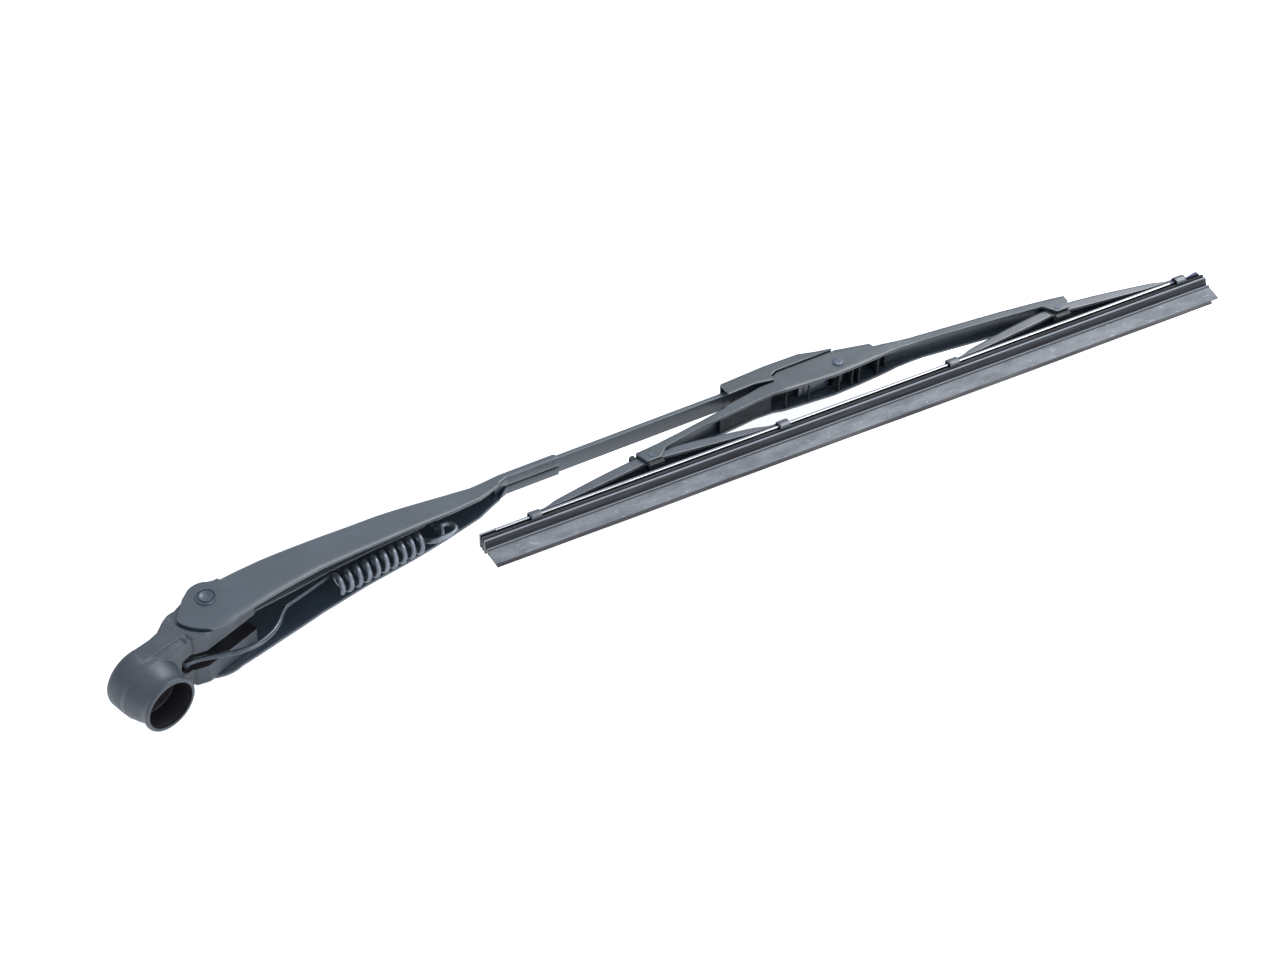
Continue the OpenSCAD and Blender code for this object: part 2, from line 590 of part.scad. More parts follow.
// Yoke pins with small heads
module yoke_pin() {
    rod(yoke_pin_d / 2, -end_y, end_y);
    both() rotate([90, 0, 0]) translate([0, 0, end_y])
        cylinder(r = yoke_pin_d / 2 + 0.4, h = 0.3);
}
module near_yoke_pin() color("#5a5e64") blade_frame()
    translate([-near_reach, 0, pivot_w]) yoke_pin();
module far_yoke_pin() color("#5a5e64") blade_frame()
    translate([far_reach, 0, pivot_w]) yoke_pin();

// Saddle clip between the yoke and the end block: strip over the yoke, a
// rounded nose past the block's end, and a leg down each side
clip_in = yoke_w / 2 + 0.15;
clip_out = end_y - bridge_wall - slip;
module yoke_clip() difference() {
    union() {
        both() across(clip_in, clip_out) polygon([[-4, -19.2], [-5, -10.2],
            [5, -10.2], [4, -19.2]]);
        both() across(clip_in, end_y - 0.3) polygon([[-3.8, -19.4],
            [-3.8, -17.1], [3.8, -17.1], [3.8, -19.4]]);
        across(-clip_out, clip_out) polygon([[-5, -10.4], [-5, -10.1],
            [-3, -9.9], [5, -9.35], [5, -10.4]]);
    }
    translate([0, 0, pivot_w]) rod(yoke_pin_d / 2 + run_gap, -20, 20);
}
module near_yoke_clip() color("#24262a") blade_frame()
    translate([-near_reach, 0, 0]) {
        yoke_clip();
        across(-clip_out + 1.6, clip_out - 1.6) polygon([[-8.4, -10.1],
            [-9.2, -9.3], [-8.6, -8], [-7.2, -7.4], [-5.9, -7.8],
            [-5.8, -10.1], [-4.4, -10.1], [-4.4, -10.4], [-5, -10.4],
            [-6, -10.2]]);
    }
module far_yoke_clip() color("#24262a") blade_frame()
    translate([far_reach, 0, 0]) {
        mirror([1, 0, 0]) yoke_clip();
    }

// Spring-steel flexor rails in the side slots of the rubber
rail_x0 = -rubber_near + 7;
rail_x1 = rubber_far - 2;
module rail() translate([rail_x0, rail_out - rail_w, rail_top - rail_t])
    cube([rail_x1 - rail_x0, rail_w, rail_t]);
module near_rail() color("#c9ccd0") blade_frame() mirror([0, 1, 0]) rail();
module far_rail() color("#c9ccd0") blade_frame() rail();

// Rubber: back with rail slots, flanges, neck, shoulder bead and lip
module wiper_rubber() color("#5c6066") blade_frame() difference() {
    hb = back_w / 2;
    slot_y = rail_out - rail_w - 0.05;
    top = rail_top + 1.3;
    lip_top = -30.2;
    half = [[hb - 0.4, top], [hb, top - 0.4], [hb, rail_top + 0.05],
        [slot_y, rail_top + 0.05], [slot_y, rail_top - rail_t - 0.05],
        [hb, rail_top - rail_t - 0.05], [hb + 0.05, rail_top - 2],
        [hb - 1.4, rail_top - 2.7], [hb + 0.15, rail_top - 3.4],
        [hb + 0.15, rail_top - 4.1], [0.8, rail_top - 5.3],
        [0.8, -28.7], [1.9, -29.1], [1.9, -29.6], [1.2, lip_top],
        [lip_t / 2, lip_top - lip_h + 0.4],
        [lip_t / 2 - 0.15, lip_top - lip_h]];
    rotate([90, 0, 90]) translate([0, 0, -rubber_near])
        linear_extrude(rubber_near + rubber_far) polygon(concat(half,
            [for (i = [len(half) - 1 : -1 : 0]) [-half[i][0], half[i][1]]]));
    // back cut short where the rails meet past it
    translate([rubber_far - back_cut, -hb - 1, rail_top - rail_t - 0.1])
        cube([back_cut + 1, 2 * hb + 2, 5]);
    translate([rubber_far - lip_relief, -5, lip_top - lip_h - 1])
        cube([lip_relief + 1, 10, 2.8]);
}

head();
link_pin();
arm_rivet();
arm_channel();
spring_link();
tension_spring();
arm_bar();
adapter();
cover();
blade_pin();
bridge();
near_yoke();
far_yoke();
near_yoke_pin();
far_yoke_pin();
near_yoke_clip();
far_yoke_clip();
near_rail();
far_rail();
wiper_rubber();
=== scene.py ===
"""Looks of a windscreen wiper arm with its blade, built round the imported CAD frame."""

import logging
import math
from dataclasses import dataclass
from enum import Enum
from typing import Callable, Optional, Sequence, Union

import bmesh
import bpy
import numpy as np
from mathutils import Matrix, Vector


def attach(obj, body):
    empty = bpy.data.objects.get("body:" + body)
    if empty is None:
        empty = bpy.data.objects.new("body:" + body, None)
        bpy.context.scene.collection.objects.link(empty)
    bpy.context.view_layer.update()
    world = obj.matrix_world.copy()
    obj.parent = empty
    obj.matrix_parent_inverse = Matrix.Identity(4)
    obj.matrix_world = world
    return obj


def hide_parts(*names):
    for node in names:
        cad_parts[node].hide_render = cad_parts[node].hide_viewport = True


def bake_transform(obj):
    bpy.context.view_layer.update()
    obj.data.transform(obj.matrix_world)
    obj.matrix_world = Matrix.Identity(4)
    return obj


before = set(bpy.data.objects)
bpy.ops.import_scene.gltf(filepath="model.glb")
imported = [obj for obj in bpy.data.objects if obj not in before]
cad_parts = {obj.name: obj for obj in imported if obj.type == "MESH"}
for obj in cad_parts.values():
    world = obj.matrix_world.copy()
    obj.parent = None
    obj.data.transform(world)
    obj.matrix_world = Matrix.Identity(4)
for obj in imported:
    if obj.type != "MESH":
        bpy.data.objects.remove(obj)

log = logging.getLogger("wiper")
MM = 0.001
Point = Sequence[float]
Tree = bpy.types.NodeTree
Socket = bpy.types.NodeSocket
Piece = bpy.types.Object
Colour = Union[str, Socket]


# ---------------------------------------------------------------- small helpers
def linear(code: str) -> tuple[float, float, float, float]:
    """Turns an sRGB hex colour into Blender's linear RGBA.

    Args:
        code: colour such as "#3a3e44".

    Returns:
        Linear red, green, blue and 1.
    """
    parts = [int(code[i:i + 2], 16) / 255 for i in (1, 3, 5)]
    r, g, b = [c / 12.92 if c <= 0.04045 else ((c + 0.055) / 1.055) ** 2.4
               for c in parts]
    return r, g, b, 1.0


def add_node(tree: Tree, kind: str, settings: Optional[dict] = None,
             links: Optional[dict] = None) -> bpy.types.Node:
    """Adds one node to a tree.

    Args:
        tree: shader or geometry tree.
        kind: Blender's node type.
        settings: node properties, or input sockets by name or index, with values.
        links: input sockets by name or index, with the output socket that feeds each.

    Returns:
        The new node.
    """
    node = tree.nodes.new(kind)
    for key, value in (settings or {}).items():
        if isinstance(key, str) and hasattr(node, key):
            setattr(node, key, value)
        else:
            node.inputs[key].default_value = value
    for key, source in (links or {}).items():
        tree.links.new(source, node.inputs[key])
    return node


def add_object(name: str, data: bpy.types.ID) -> Piece:
    """Puts new data into the scene as an object at the origin."""
    made = bpy.data.objects.new(name, data)
    bpy.context.scene.collection.objects.link(made)
    return made


def empty_tree(owner: bpy.types.ID) -> Tree:
    """Shader tree of a material or world, with nothing in it."""
    owner.use_nodes = True
    owner.node_tree.nodes.clear()
    return owner.node_tree


@dataclass(frozen=True)
class SlopeFrame:
    """A frame turned about Y, with its origin in the part's frame, in mm."""

    x: float
    z: float
    slope: float

    def place(self, points: np.ndarray) -> np.ndarray:
        """Moves (u, y, w) points in mm into the part's frame."""
        a = math.radians(self.slope)
        out = np.array(points, float)
        out[:, 0] = self.x + points[:, 0] * math.cos(a) + points[:, 2] * math.sin(a)
        out[:, 2] = self.z - points[:, 0] * math.sin(a) + points[:, 2] * math.cos(a)
        return out


ARM = SlopeFrame(0.0, 0.0, 0.0)
BAR = SlopeFrame(213.5, -10.3, 16.8)
BLADE = SlopeFrame(347.0277, -61.0602, 17.9)


class Slot(Enum):
    """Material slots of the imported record."""

    ARM_PAINT = "arm_paint"
    YOKE_PAINT = "yoke_paint"
    BRIDGE = "bridge_plastic"
    COVER = "cover_plastic"
    CLIP = "clip_plastic"
    SPRING = "spring_steel"
    PIN = "pin_steel"
    RAIL = "rail_steel"
    RUBBER = "blade_rubber"


class Body(Enum):
    """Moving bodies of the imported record."""

    HEAD = "head"
    ARM = "arm"
    SPRING = "spring"
    BLADE = "blade"
    NEAR_YOKE = "near_yoke"
    FAR_YOKE = "far_yoke"


# ---------------------------------------------------------------- finishes
@dataclass(frozen=True)
class Finish:
    """A surface made of one real material.

    Attributes:
        name: material name.
        base: main colour.
        tint: second colour of the cloudy variation.
        worn: colour of dust, scuffs or bare spots.
        metallic: 0 for paint and plastic, 1 for bare metal.
        rough: roughness.
        rough_spread: how far the roughness varies to either side.
        mottle_mm: size of the cloudy variation.
        grain_mm: size of the surface grain.
        grain_depth: height of the grain in mm.
        worn_share: share of the surface that scuffs cover, 0 to 1.
        worn_mm: size of a scuff.
        stretch: how much a scuff is longer along the piece than across it.
        slope: angle in degrees by which the piece slopes down.
        coat: weight of the clear top of the coat.
        coat_rough: roughness of that top.
        specular: strength of the mirrored light under the coat.
    """

    name: str
    base: str
    tint: str
    worn: str
    metallic: float = 0.0
    rough: float = 0.45
    rough_spread: float = 0.08
    mottle_mm: float = 18.0
    grain_mm: float = 0.5
    grain_depth: float = 0.02
    worn_share: float = 0.1
    worn_mm: float = 1.2
    stretch: float = 3.0
    slope: float = 17.0
    coat: float = 0.0
    coat_rough: float = 0.25
    specular: float = 0.5

    def coordinates(self, tree: Tree) -> Socket:
        """Object coordinates in mm, turned to run along the piece.

        Args:
            tree: the material's tree.

        Returns:
            Socket with the coordinates.
        """
        place = add_node(tree, "ShaderNodeTexCoord")
        turned = add_node(tree, "ShaderNodeMapping", {
            "vector_type": "POINT", "Rotation": (0.0, math.radians(-self.slope), 0.0),
            "Scale": (1 / MM, 1 / MM, 1 / MM)}, {"Vector": place.outputs["Object"]})
        return turned.outputs["Vector"]

    def mask(self, tree: Tree, *edges: tuple[Socket, float, float],
             out: Sequence[float] = (0.0, 1.0)) -> Socket:
        """Mask with smooth edges, full where all its edges are passed.

        Args:
            tree: the material's tree.
            edges: for each edge a value, where the mask starts and where it is full.
            out: results before and past an edge.

        Returns:
            Socket with the mask.
        """
        whole: Optional[Socket] = None
        for value, start, full in edges:
            side = add_node(tree, "ShaderNodeMapRange", {
                "interpolation_type": "SMOOTHSTEP", "From Min": start,
                "From Max": full, "To Min": out[0], "To Max": out[1]},
                {"Value": value}).outputs["Result"]
            whole = side if whole is None else add_node(
                tree, "ShaderNodeMath", {"operation": "MULTIPLY"},
                {0: whole, 1: side}).outputs[0]
        return whole

    def patches(self, tree: Tree, source: Socket, size_mm: float,
                limits: Sequence[float] = (), detail: float = 3.0,
                stretch: float = 1.0, rough: float = 0.55,
                out: Sequence[float] = (0.0, 1.0)) -> Socket:
        """Noise with features of a real size.

        Args:
            tree: the material's tree.
            source: coordinates in mm.
            size_mm: size of the features across the piece.
            limits: noise at which a patch starts and is full, or none for the
                bare noise round 0.5.
            detail: octaves.
            stretch: how much longer the features are along the piece.
            rough: weight of the finer octaves.
            out: results outside and inside a patch.

        Returns:
            Socket with the value.
        """
        scaled = add_node(tree, "ShaderNodeVectorMath", {
            "operation": "MULTIPLY", 1: (1 / size_mm / stretch, 1 / size_mm,
                                         1 / size_mm)}, {0: source})
        noise = add_node(tree, "ShaderNodeTexNoise", {
            "Scale": 1.0, "Detail": detail, "Roughness": rough},
            {"Vector": scaled.outputs["Vector"]}).outputs["Fac"]
        return self.mask(tree, (noise, *limits), out=out) if limits else noise

    def layers(self, tree: Tree, under: Colour,
               *over: tuple[Socket, Colour]) -> Socket:
        """Lays colours over each other.

        Args:
            tree: the material's tree.
            under: hex code or socket of the lowest colour.
            over: mask and colour of each layer above it.

        Returns:
            Colour socket.
        """
        for share, colour in over:
            settings: dict = {"data_type": "RGBA", "clamp_factor": True}
            links: dict = {0: share}
            for index, value in ((6, under), (7, colour)):
                if isinstance(value, str):
                    settings[index] = linear(value)
                else:
                    links[index] = value
            under = add_node(tree, "ShaderNodeMix", settings, links).outputs[2]
        return under

    def colour(self, tree: Tree, source: Socket) -> Socket:
        """Colour with its cloudy variation and scuffs.

        Args:
            tree: the material's tree.
            source: coordinates in mm.

        Returns:
            Colour socket.
        """
        cloud = self.patches(tree, source, self.mottle_mm, (0.35, 0.65))
        # the more of the surface is worn, the lower the noise that makes a scuff
        edge = 0.72 - 0.3 * self.worn_share
        scuff = self.patches(tree, source, self.worn_mm, (edge, edge + 0.1), 5.0,
                             self.stretch, 0.65)
        return self.layers(tree, self.base, (cloud, self.tint), (scuff, self.worn))

    def gloss(self, tree: Tree, source: Socket) -> Optional[Socket]:
        """Weight of the coat's clear top, or None where it is the same all over."""
        return None

    def material(self) -> bpy.types.Material:
        """Builds the material once and returns it."""
        found = bpy.data.materials.get(self.name)
        if found:
            return found
        made = bpy.data.materials.new(self.name)
        tree = empty_tree(made)
        source = self.coordinates(tree)
        grain = self.patches(tree, source, self.grain_mm, detail=2.0)
        bump = add_node(tree, "ShaderNodeBump", {
            "Strength": 0.6, "Distance": self.grain_depth * MM}, {"Height": grain})
        # gloss varies in smaller patches than the colour
        rough = self.patches(tree, source, self.mottle_mm * 0.35, (0.3, 0.7), 4.0,
                             self.stretch, out=(self.rough - self.rough_spread,
                                                self.rough + self.rough_spread))
        shader = add_node(tree, "ShaderNodeBsdfPrincipled", {
            "Metallic": self.metallic, "Coat Weight": self.coat,
            "Coat Roughness": self.coat_rough, "Specular IOR Level": self.specular},
            {"Base Color": self.colour(tree, source), "Roughness": rough,
             "Normal": bump.outputs["Normal"]})
        gloss = self.gloss(tree, source)
        if gloss is not None:
            tree.links.new(gloss, shader.inputs["Coat Weight"])
        add_node(tree, "ShaderNodeOutputMaterial", None,
                 {"Surface": shader.outputs["BSDF"]})
        made.diffuse_color = linear(self.base)
        return made


@dataclass(frozen=True)
class FollowingFinish(Finish):
    """Finish whose pattern follows each vertex's place on the straight blade, kept in
    the mesh.
    """

    def coordinates(self, tree: Tree) -> Socket:
        """Place along, across and above the straight blade in mm, kept in the mesh."""
        return add_node(tree, "ShaderNodeAttribute",
                        {"attribute_name": "along"}).outputs["Vector"]


@dataclass(frozen=True)
class RubberFinish(FollowingFinish):
    """Moulded rubber whose lip carries a pale bloom in patches.

    Attributes:
        lip_w: height at which the bloomed lip starts.
        lip_len: length of the bloomed part; below it the lip keeps the dark base colour.
        bloom: colour of thick bloom.
        thin_bloom: colour of thin bloom.
        fleck: colour of small flecks on it.
        lines: heights of the edges where a highlight is painted.
        line: colour of those painted highlights.
    """

    lip_w: float = -30.2
    lip_len: float = 7.3
    bloom: str = "#74787e"
    thin_bloom: str = "#54585f"
    fleck: str = "#a3aab2"
    # heights and colour of the painted edge highlights
    lines: tuple = (-21.5, -25.9, -29.1)
    line: str = "#868b93"

    def colour(self, tree: Tree, source: Socket) -> Socket:
        """Dark back with lengthwise streaks and painted edge highlights, and a bloomed
        lip.

        Args:
            tree: the material's tree.
            source: coordinates in mm, along the blade.

        Returns:
            Colour socket.
        """
        w = add_node(tree, "ShaderNodeSeparateXYZ", None, {0: source}).outputs["Z"]
        # wipe marks 0.7 mm wide that run on for about 28 mm
        streak = self.patches(tree, source, 0.7, (0.45, 0.75), stretch=40.0,
                              out=(0.0, 0.5))
        # painted highlights on the section's edges, in lines about 1 mm wide
        painted_edge_highlights = [(self.mask(tree, (w, at - 0.6, at - 0.35), (w, at + 0.6, at + 0.35)),
                  self.line) for at in self.lines]
        dark = self.layers(tree, super().colour(tree, source), (streak, self.worn),
                           *painted_edge_highlights)
        # bloom comes in clouds of 4.5 mm, with flecks of 1.3 mm on them
        cloud = self.patches(tree, source, 4.5, (0.26, 0.74), 5.0, 3.0, 0.62)
        fleck = self.patches(tree, source, 1.3, (0.6, 0.7), 4.0, 2.5, 0.6,
                             out=(0.0, 0.45))
        pale = self.layers(tree, self.thin_bloom, (cloud, self.bloom),
                           (fleck, self.fleck))
        lip = self.mask(tree, (w, self.lip_w + 0.5, self.lip_w - 0.3))
        # the lowest strip of the lip is left in the dark base colour
        end = self.lip_w - self.lip_len
        return self.layers(tree, dark, (lip, pale),
                           (self.mask(tree, (w, end, end - 0.5)), self.base))


@dataclass(frozen=True)
class BrushedFinish(FollowingFinish):
    """Rolled steel strip with fine lines along it.

    Attributes:
        underside_shade_w: height of the strip's underside, below which shade is painted.
        underside_shade: colour of that painted shade.
        far_end_shade_u: position past which shade and a dark reflection are painted on
            the strip.
        far_end_shade: colour of that painted shade and reflection.
    """

    underside_shade_w: float = -23.26
    underside_shade: str = "#26252c"
    far_end_shade_u: float = 167.0
    far_end_shade: str = "#464961"

    def colour(self, tree: Tree, source: Socket) -> Socket:
        """Bright metal with lengthwise lines and stains, and painted shade on its far
        end and underside.

        Args:
            tree: the material's tree.
            source: coordinates in mm, along the strip.

        Returns:
            Colour socket.
        """
        # real rolling lines are under 0.05 mm wide: drawn at 0.25 mm so that they show
        line = self.patches(tree, source, 0.25, (0.3, 0.7), stretch=60.0)
        stain = self.patches(tree, source, 5.0, (0.6, 0.75), 4.0, 3.0, out=(0.0, 0.7))
        place = add_node(tree, "ShaderNodeSeparateXYZ", None, {0: source}).outputs
        # painted shade and a dark reflection on the bent far end
        painted_far_end_shade = self.mask(tree, (place["X"], self.far_end_shade_u, self.far_end_shade_u + 1.5))
        # painted shade on the strip's underside
        under = self.mask(tree, (place["Z"], self.underside_shade_w + 0.15, self.underside_shade_w))
        return self.layers(tree, self.base, (line, self.tint), (stain, self.worn),
                           (painted_far_end_shade, self.far_end_shade), (under, self.underside_shade))


@dataclass(frozen=True)
class BoredFinish(Finish):
    """Painted casting with painted shade in its bore and link slot.

    Attributes:
        bore_r: radius inside which shade is painted in the bore.
        slot_y: half of the slot's width.
        slot_x: position where the slot starts.
        slot_top: height up to which shade is painted in the slot.
        bore: colour of the painted shade inside.
    """

    bore_r: float = 11.6
    slot_y: float = 4.85
    slot_x: float = 16.5
    slot_top: float = 19.5
    bore: str = "#1d1b20"

    def shaded_recesses(self, tree: Tree, source: Socket) -> Socket:
        """Tells the bore and the slot, where shade is painted, from the rest.

        Args:
            tree: the material's tree.
            source: coordinates in mm.

        Returns:
            Socket with 1 in the bore and the slot, 0 elsewhere.
        """
        flat = add_node(tree, "ShaderNodeVectorMath", {
            "operation": "MULTIPLY", 1: (1.0, 1.0, 0.0)}, {0: source})
        reach = add_node(tree, "ShaderNodeVectorMath", {"operation": "LENGTH"},
                         {0: flat.outputs["Vector"]}).outputs["Value"]
        place = add_node(tree, "ShaderNodeSeparateXYZ", None, {0: source}).outputs
        across = add_node(tree, "ShaderNodeMath", {"operation": "ABSOLUTE"},
                          {0: place["Y"]}).outputs[0]
        slot = self.mask(tree, (across, self.slot_y + 0.2, self.slot_y),
                         (place["X"], self.slot_x - 0.5, self.slot_x),
                         (place["Z"], self.slot_top + 0.5, self.slot_top))
        return add_node(tree, "ShaderNodeMath", {"operation": "MAXIMUM"}, {
            0: self.mask(tree, (reach, self.bore_r, self.bore_r - 0.2)),
            1: slot}).outputs[0]

    def colour(self, tree: Tree, source: Socket) -> Socket:
        """Paint outside, painted shade in the bore and in the slot.

        Args:
            tree: the material's tree.
            source: coordinates in mm.

        Returns:
            Colour socket.
        """
        return self.layers(tree, super().colour(tree, source),
                           (self.shaded_recesses(tree, source), self.bore))

    def gloss(self, tree: Tree, source: Socket) -> Socket:
        """Coat outside, none in the bore and in the slot.

        Args:
            tree: the material's tree.
            source: coordinates in mm.

        Returns:
            Socket with the coat's weight.
        """
        return self.mask(tree, (self.shaded_recesses(tree, source), 0.0, 1.0),
                         out=(self.coat, 0.0))


class Finishes(Enum):
    """Every finish of the part.

    The real grain of paint, mouldings and wire is mostly finer than a pixel. It is
    drawn at 0.3 to 0.8 mm, as coarse as it needs to show.
    """

    # black satin powder coat over pressed steel: even, cool grey where it faces light
    ARM_PAINT = Finish("Satin powder coat on steel sheet", "#2b3641", "#323e49",
                       "#5b666f", rough=0.42, rough_spread=0.05, mottle_mm=26,
                       grain_mm=0.8, grain_depth=0.012, worn_share=0.05, worn_mm=0.9,
                       coat=1.0)
    # the same coat over die-cast zinc, with a slight casting skin
    HEAD_PAINT = BoredFinish("Satin coat on die-cast zinc", "#28303b", "#303a45",
                             "#555f6d", rough=0.5, rough_spread=0.08, mottle_mm=9,
                             grain_mm=0.6, grain_depth=0.02, worn_share=0.1,
                             worn_mm=1.4, slope=0.0, coat=0.6, coat_rough=0.5)
    # thinner coat on the yokes, scuffed more than the arm
    YOKE_PAINT = Finish("Satin coat on pressed yokes", "#303743", "#38404c",
                        "#6c7580", rough=0.4, rough_spread=0.1, mottle_mm=12,
                        grain_mm=0.6, grain_depth=0.015, worn_share=0.12, worn_mm=1.0,
                        coat=0.9)
    # glass-filled polyamide: fine spark-eroded texture, matt
    BRIDGE = Finish("Moulded glass-filled polyamide", "#28333c", "#303b44",
                    "#707a84", rough=0.5, rough_spread=0.08, mottle_mm=14,
                    grain_mm=0.45, grain_depth=0.03, worn_share=0.16, worn_mm=1.1,
                    stretch=5.0, coat=0.8)
    # inner faces of the same moulding: matt, made darker as painted shade
    BRIDGE_INSIDE = Finish("Unworn polyamide inside the bridge", "#1b1f25", "#23282e",
                           "#59616b", rough=0.62, rough_spread=0.06, mottle_mm=8,
                           grain_mm=0.45, grain_depth=0.03, worn_share=0.2,
                           worn_mm=0.7, stretch=2.0, specular=0.3)
    # acetal cover: smoother, evenly matt
    COVER = Finish("Moulded acetal", "#242e36", "#2b353e", "#65707a", rough=0.46,
                   rough_spread=0.05, mottle_mm=20, grain_mm=0.5, grain_depth=0.02,
                   worn_share=0.06, worn_mm=0.9, coat=0.8)
    # clips and adapter: black acetal, hardly lit
    CLIP = Finish("Black acetal clip", "#0e1013", "#131519", "#3a3f47", rough=0.4,
                  rough_spread=0.08, mottle_mm=6, grain_mm=0.4, grain_depth=0.015,
                  worn_share=0.1, worn_mm=0.8)
    # oil-tempered spring wire: dark metal with a glossy draw skin
    SPRING = Finish("Oil-tempered spring wire", "#6e747d", "#7f868f", "#4a4744",
                    metallic=0.75, rough=0.4, rough_spread=0.06, mottle_mm=4,
                    grain_mm=0.3, grain_depth=0.008, worn_share=0.2, worn_mm=0.8)
    # bent link of thicker, darker wire with a glossy skin
    LINK = Finish("Phosphated link wire", "#4b515a", "#565c65", "#2c2a29",
                  metallic=0.75, rough=0.24, rough_spread=0.05, mottle_mm=4,
                  grain_mm=0.3, grain_depth=0.006, worn_share=0.2, worn_mm=0.8)
    # painted steel rivets and pins
    PIN = Finish("Blackened steel pin", "#4a525e", "#555e6a", "#6a727d",
                 metallic=0.35, rough=0.34, rough_spread=0.08, mottle_mm=3,
                 grain_mm=0.3, grain_depth=0.01, worn_share=0.15, worn_mm=0.6)
    # bright cold-rolled stainless strip
    RAIL = BrushedFinish("Bright stainless flexor strip", "#a6a8ac", "#c9c9ca",
                         "#827f7e", metallic=1.0, rough=0.26, rough_spread=0.08,
                         mottle_mm=9, grain_mm=0.3, grain_depth=0.004, stretch=40.0)
    # natural-rubber squeegee with carbon black
    RUBBER = RubberFinish("Carbon-black rubber", "#18181e", "#1f2026", "#555b64",
                          rough=0.55, rough_spread=0.1, mottle_mm=16, grain_mm=0.5,
                          grain_depth=0.02, worn_share=0.14, worn_mm=1.3,
                          stretch=8.0)

    def dress(self, piece: Piece) -> None:
        """Gives a piece this finish alone."""
        piece.data.materials.clear()
        piece.data.materials.append(self.value.material())


# ---------------------------------------------------------------- mesh helpers
@dataclass(frozen=True)
class Line:
    """Height or width along a piece, from a few points.

    Attributes:
        points: (position, value) pairs in mm, in order.
        smooth: whether the line runs smoothly through them.
    """

    points: tuple
    smooth: bool = False

    def at(self, x: np.ndarray) -> np.ndarray:
        """Values at the positions x.

        Args:
            x: positions in mm.

        Returns:
            Values in mm.
        """
        px = np.array([p[0] for p in self.points], float)
        pv = np.array([p[1] for p in self.points], float)
        if not self.smooth:
            return np.interp(x, px, pv)
        step = np.diff(px)
        rise = np.diff(pv) / step
        slope = np.concatenate([[rise[0]], np.where(
            rise[:-1] * rise[1:] > 0, 2 * rise[:-1] * rise[1:]
            / (rise[:-1] + rise[1:] + 1e-12), 0.0), [rise[-1]]])
        i = np.clip(np.searchsorted(px, x, "right") - 1, 0, len(step) - 1)
        t = np.clip((x - px[i]) / step[i], 0, 1)
        return ((2 * t ** 3 - 3 * t ** 2 + 1) * pv[i]
                + (t ** 3 - 2 * t ** 2 + t) * step[i] * slope[i]
                + (-2 * t ** 3 + 3 * t ** 2) * pv[i + 1]
                + (t ** 3 - t ** 2) * step[i] * slope[i + 1])

    def breaks(self) -> list[float]:
        """Positions of its points."""
        return [p[0] for p in self.points]


def stations(first: float, last: float, step: float,
             extra: Sequence[float] = ()) -> np.ndarray:
    """Positions along a piece.

    Args:
        first: lowest position in mm.
        last: highest position in mm.
        step: usual distance between them.
        extra: positions that must be among them.

    Returns:
        Sorted positions, no two closer than 0.05 mm.
    """
    count = max(2, int((last - first) / step) + 1)
    every = sorted(list(np.linspace(first, last, count))
                   + [e for e in extra if first < e < last])
    keep = [every[0]]
    must = set(round(e, 6) for e in extra)
    for value in every[1:]:
        if value - keep[-1] > 0.05:
            keep.append(value)
        elif round(value, 6) in must and len(keep) > 1:
            keep[-1] = value
    keep[-1] = last
    return np.array(keep)


def arc(y: float, z: float, radius: float, start: float, turn: float,
        steps: int) -> list[tuple[float, float]]:
    """Points on an arc.

    Args:
        y: first coordinate of its centre in mm.
        z: second coordinate of its centre in mm.
        radius: radius in mm.
        start: angle of its first point in degrees.
        turn: angle from its first to its last point.
        steps: steps between them.

    Returns:
        Pairs of coordinates, one more than the steps.
    """
    angles = [math.radians(start + turn * i / steps) for i in range(steps + 1)]
    return [(y + radius * math.cos(a), z + radius * math.sin(a)) for a in angles]


def ring_faces(rings: int, size: int, inside_out: bool = False, ends: bool = True
               ) -> list[list[int]]:
    """Faces of a skin over rings of points that follow each other.

    Args:
        rings: number of rings.
        size: points in a ring.
        inside_out: whether each face runs the other way round.
        ends: whether the first and the last ring are filled.

    Returns:
        Vertex indices of each face.
    """
    faces = []
    for i in range(rings - 1):
        for j in range(size):
            k = (j + 1) % size
            a, b = i * size, (i + 1) * size
            faces.append([a + j, b + j, b + k, a + k] if inside_out
                         else [a + j, a + k, b + k, b + j])
    if ends:
        last = rings * size - 1
        faces += [list(range(size)), list(range(last, last - size, -1))]
    return faces


def new_piece(name: str, points: Sequence[Point], faces: Sequence[Sequence[int]],
              place: SlopeFrame = ARM, edges: Sequence[Sequence[int]] = ()) -> Piece:
    """Makes a mesh object at the origin from points in mm.

    Args:
        name: object name.
        points: vertices in mm in the given frame.
        faces: vertex indices of each face.
        place: frame of the points.
        edges: vertex indices of each loose edge.

    Returns:
        The new object.
    """
    mesh = bpy.data.meshes.new(name)
    placed = place.place(np.asarray(points, float)) * MM
    mesh.from_pydata([tuple(p) for p in placed], edges, faces)
    mesh.validate()
    return add_object(name, mesh)


def shade(mesh: bpy.types.Mesh, sharp: float) -> None:
    """Shades a mesh smooth, apart from edges over an angle in degrees."""
    mesh.shade_smooth()
    mesh.set_sharp_from_angle(angle=math.radians(sharp))


def clean(piece: Piece, merge_mm: float = 0.005,
          outward: bool = True) -> None:
    """Merges doubles, removes slivers and turns the faces outwards.

    Args:
        piece: mesh object.
        merge_mm: distance under which vertices merge.
        outward: whether the normals are recalculated.
    """
    bm = bmesh.new()
    bm.from_mesh(piece.data)
    bmesh.ops.remove_doubles(bm, verts=bm.verts, dist=merge_mm * MM)
    bmesh.ops.dissolve_degenerate(bm, dist=merge_mm * 0.2 * MM, edges=bm.edges)
    if outward:
        bmesh.ops.recalc_face_normals(bm, faces=bm.faces)
    bm.to_mesh(piece.data)
    bm.free()


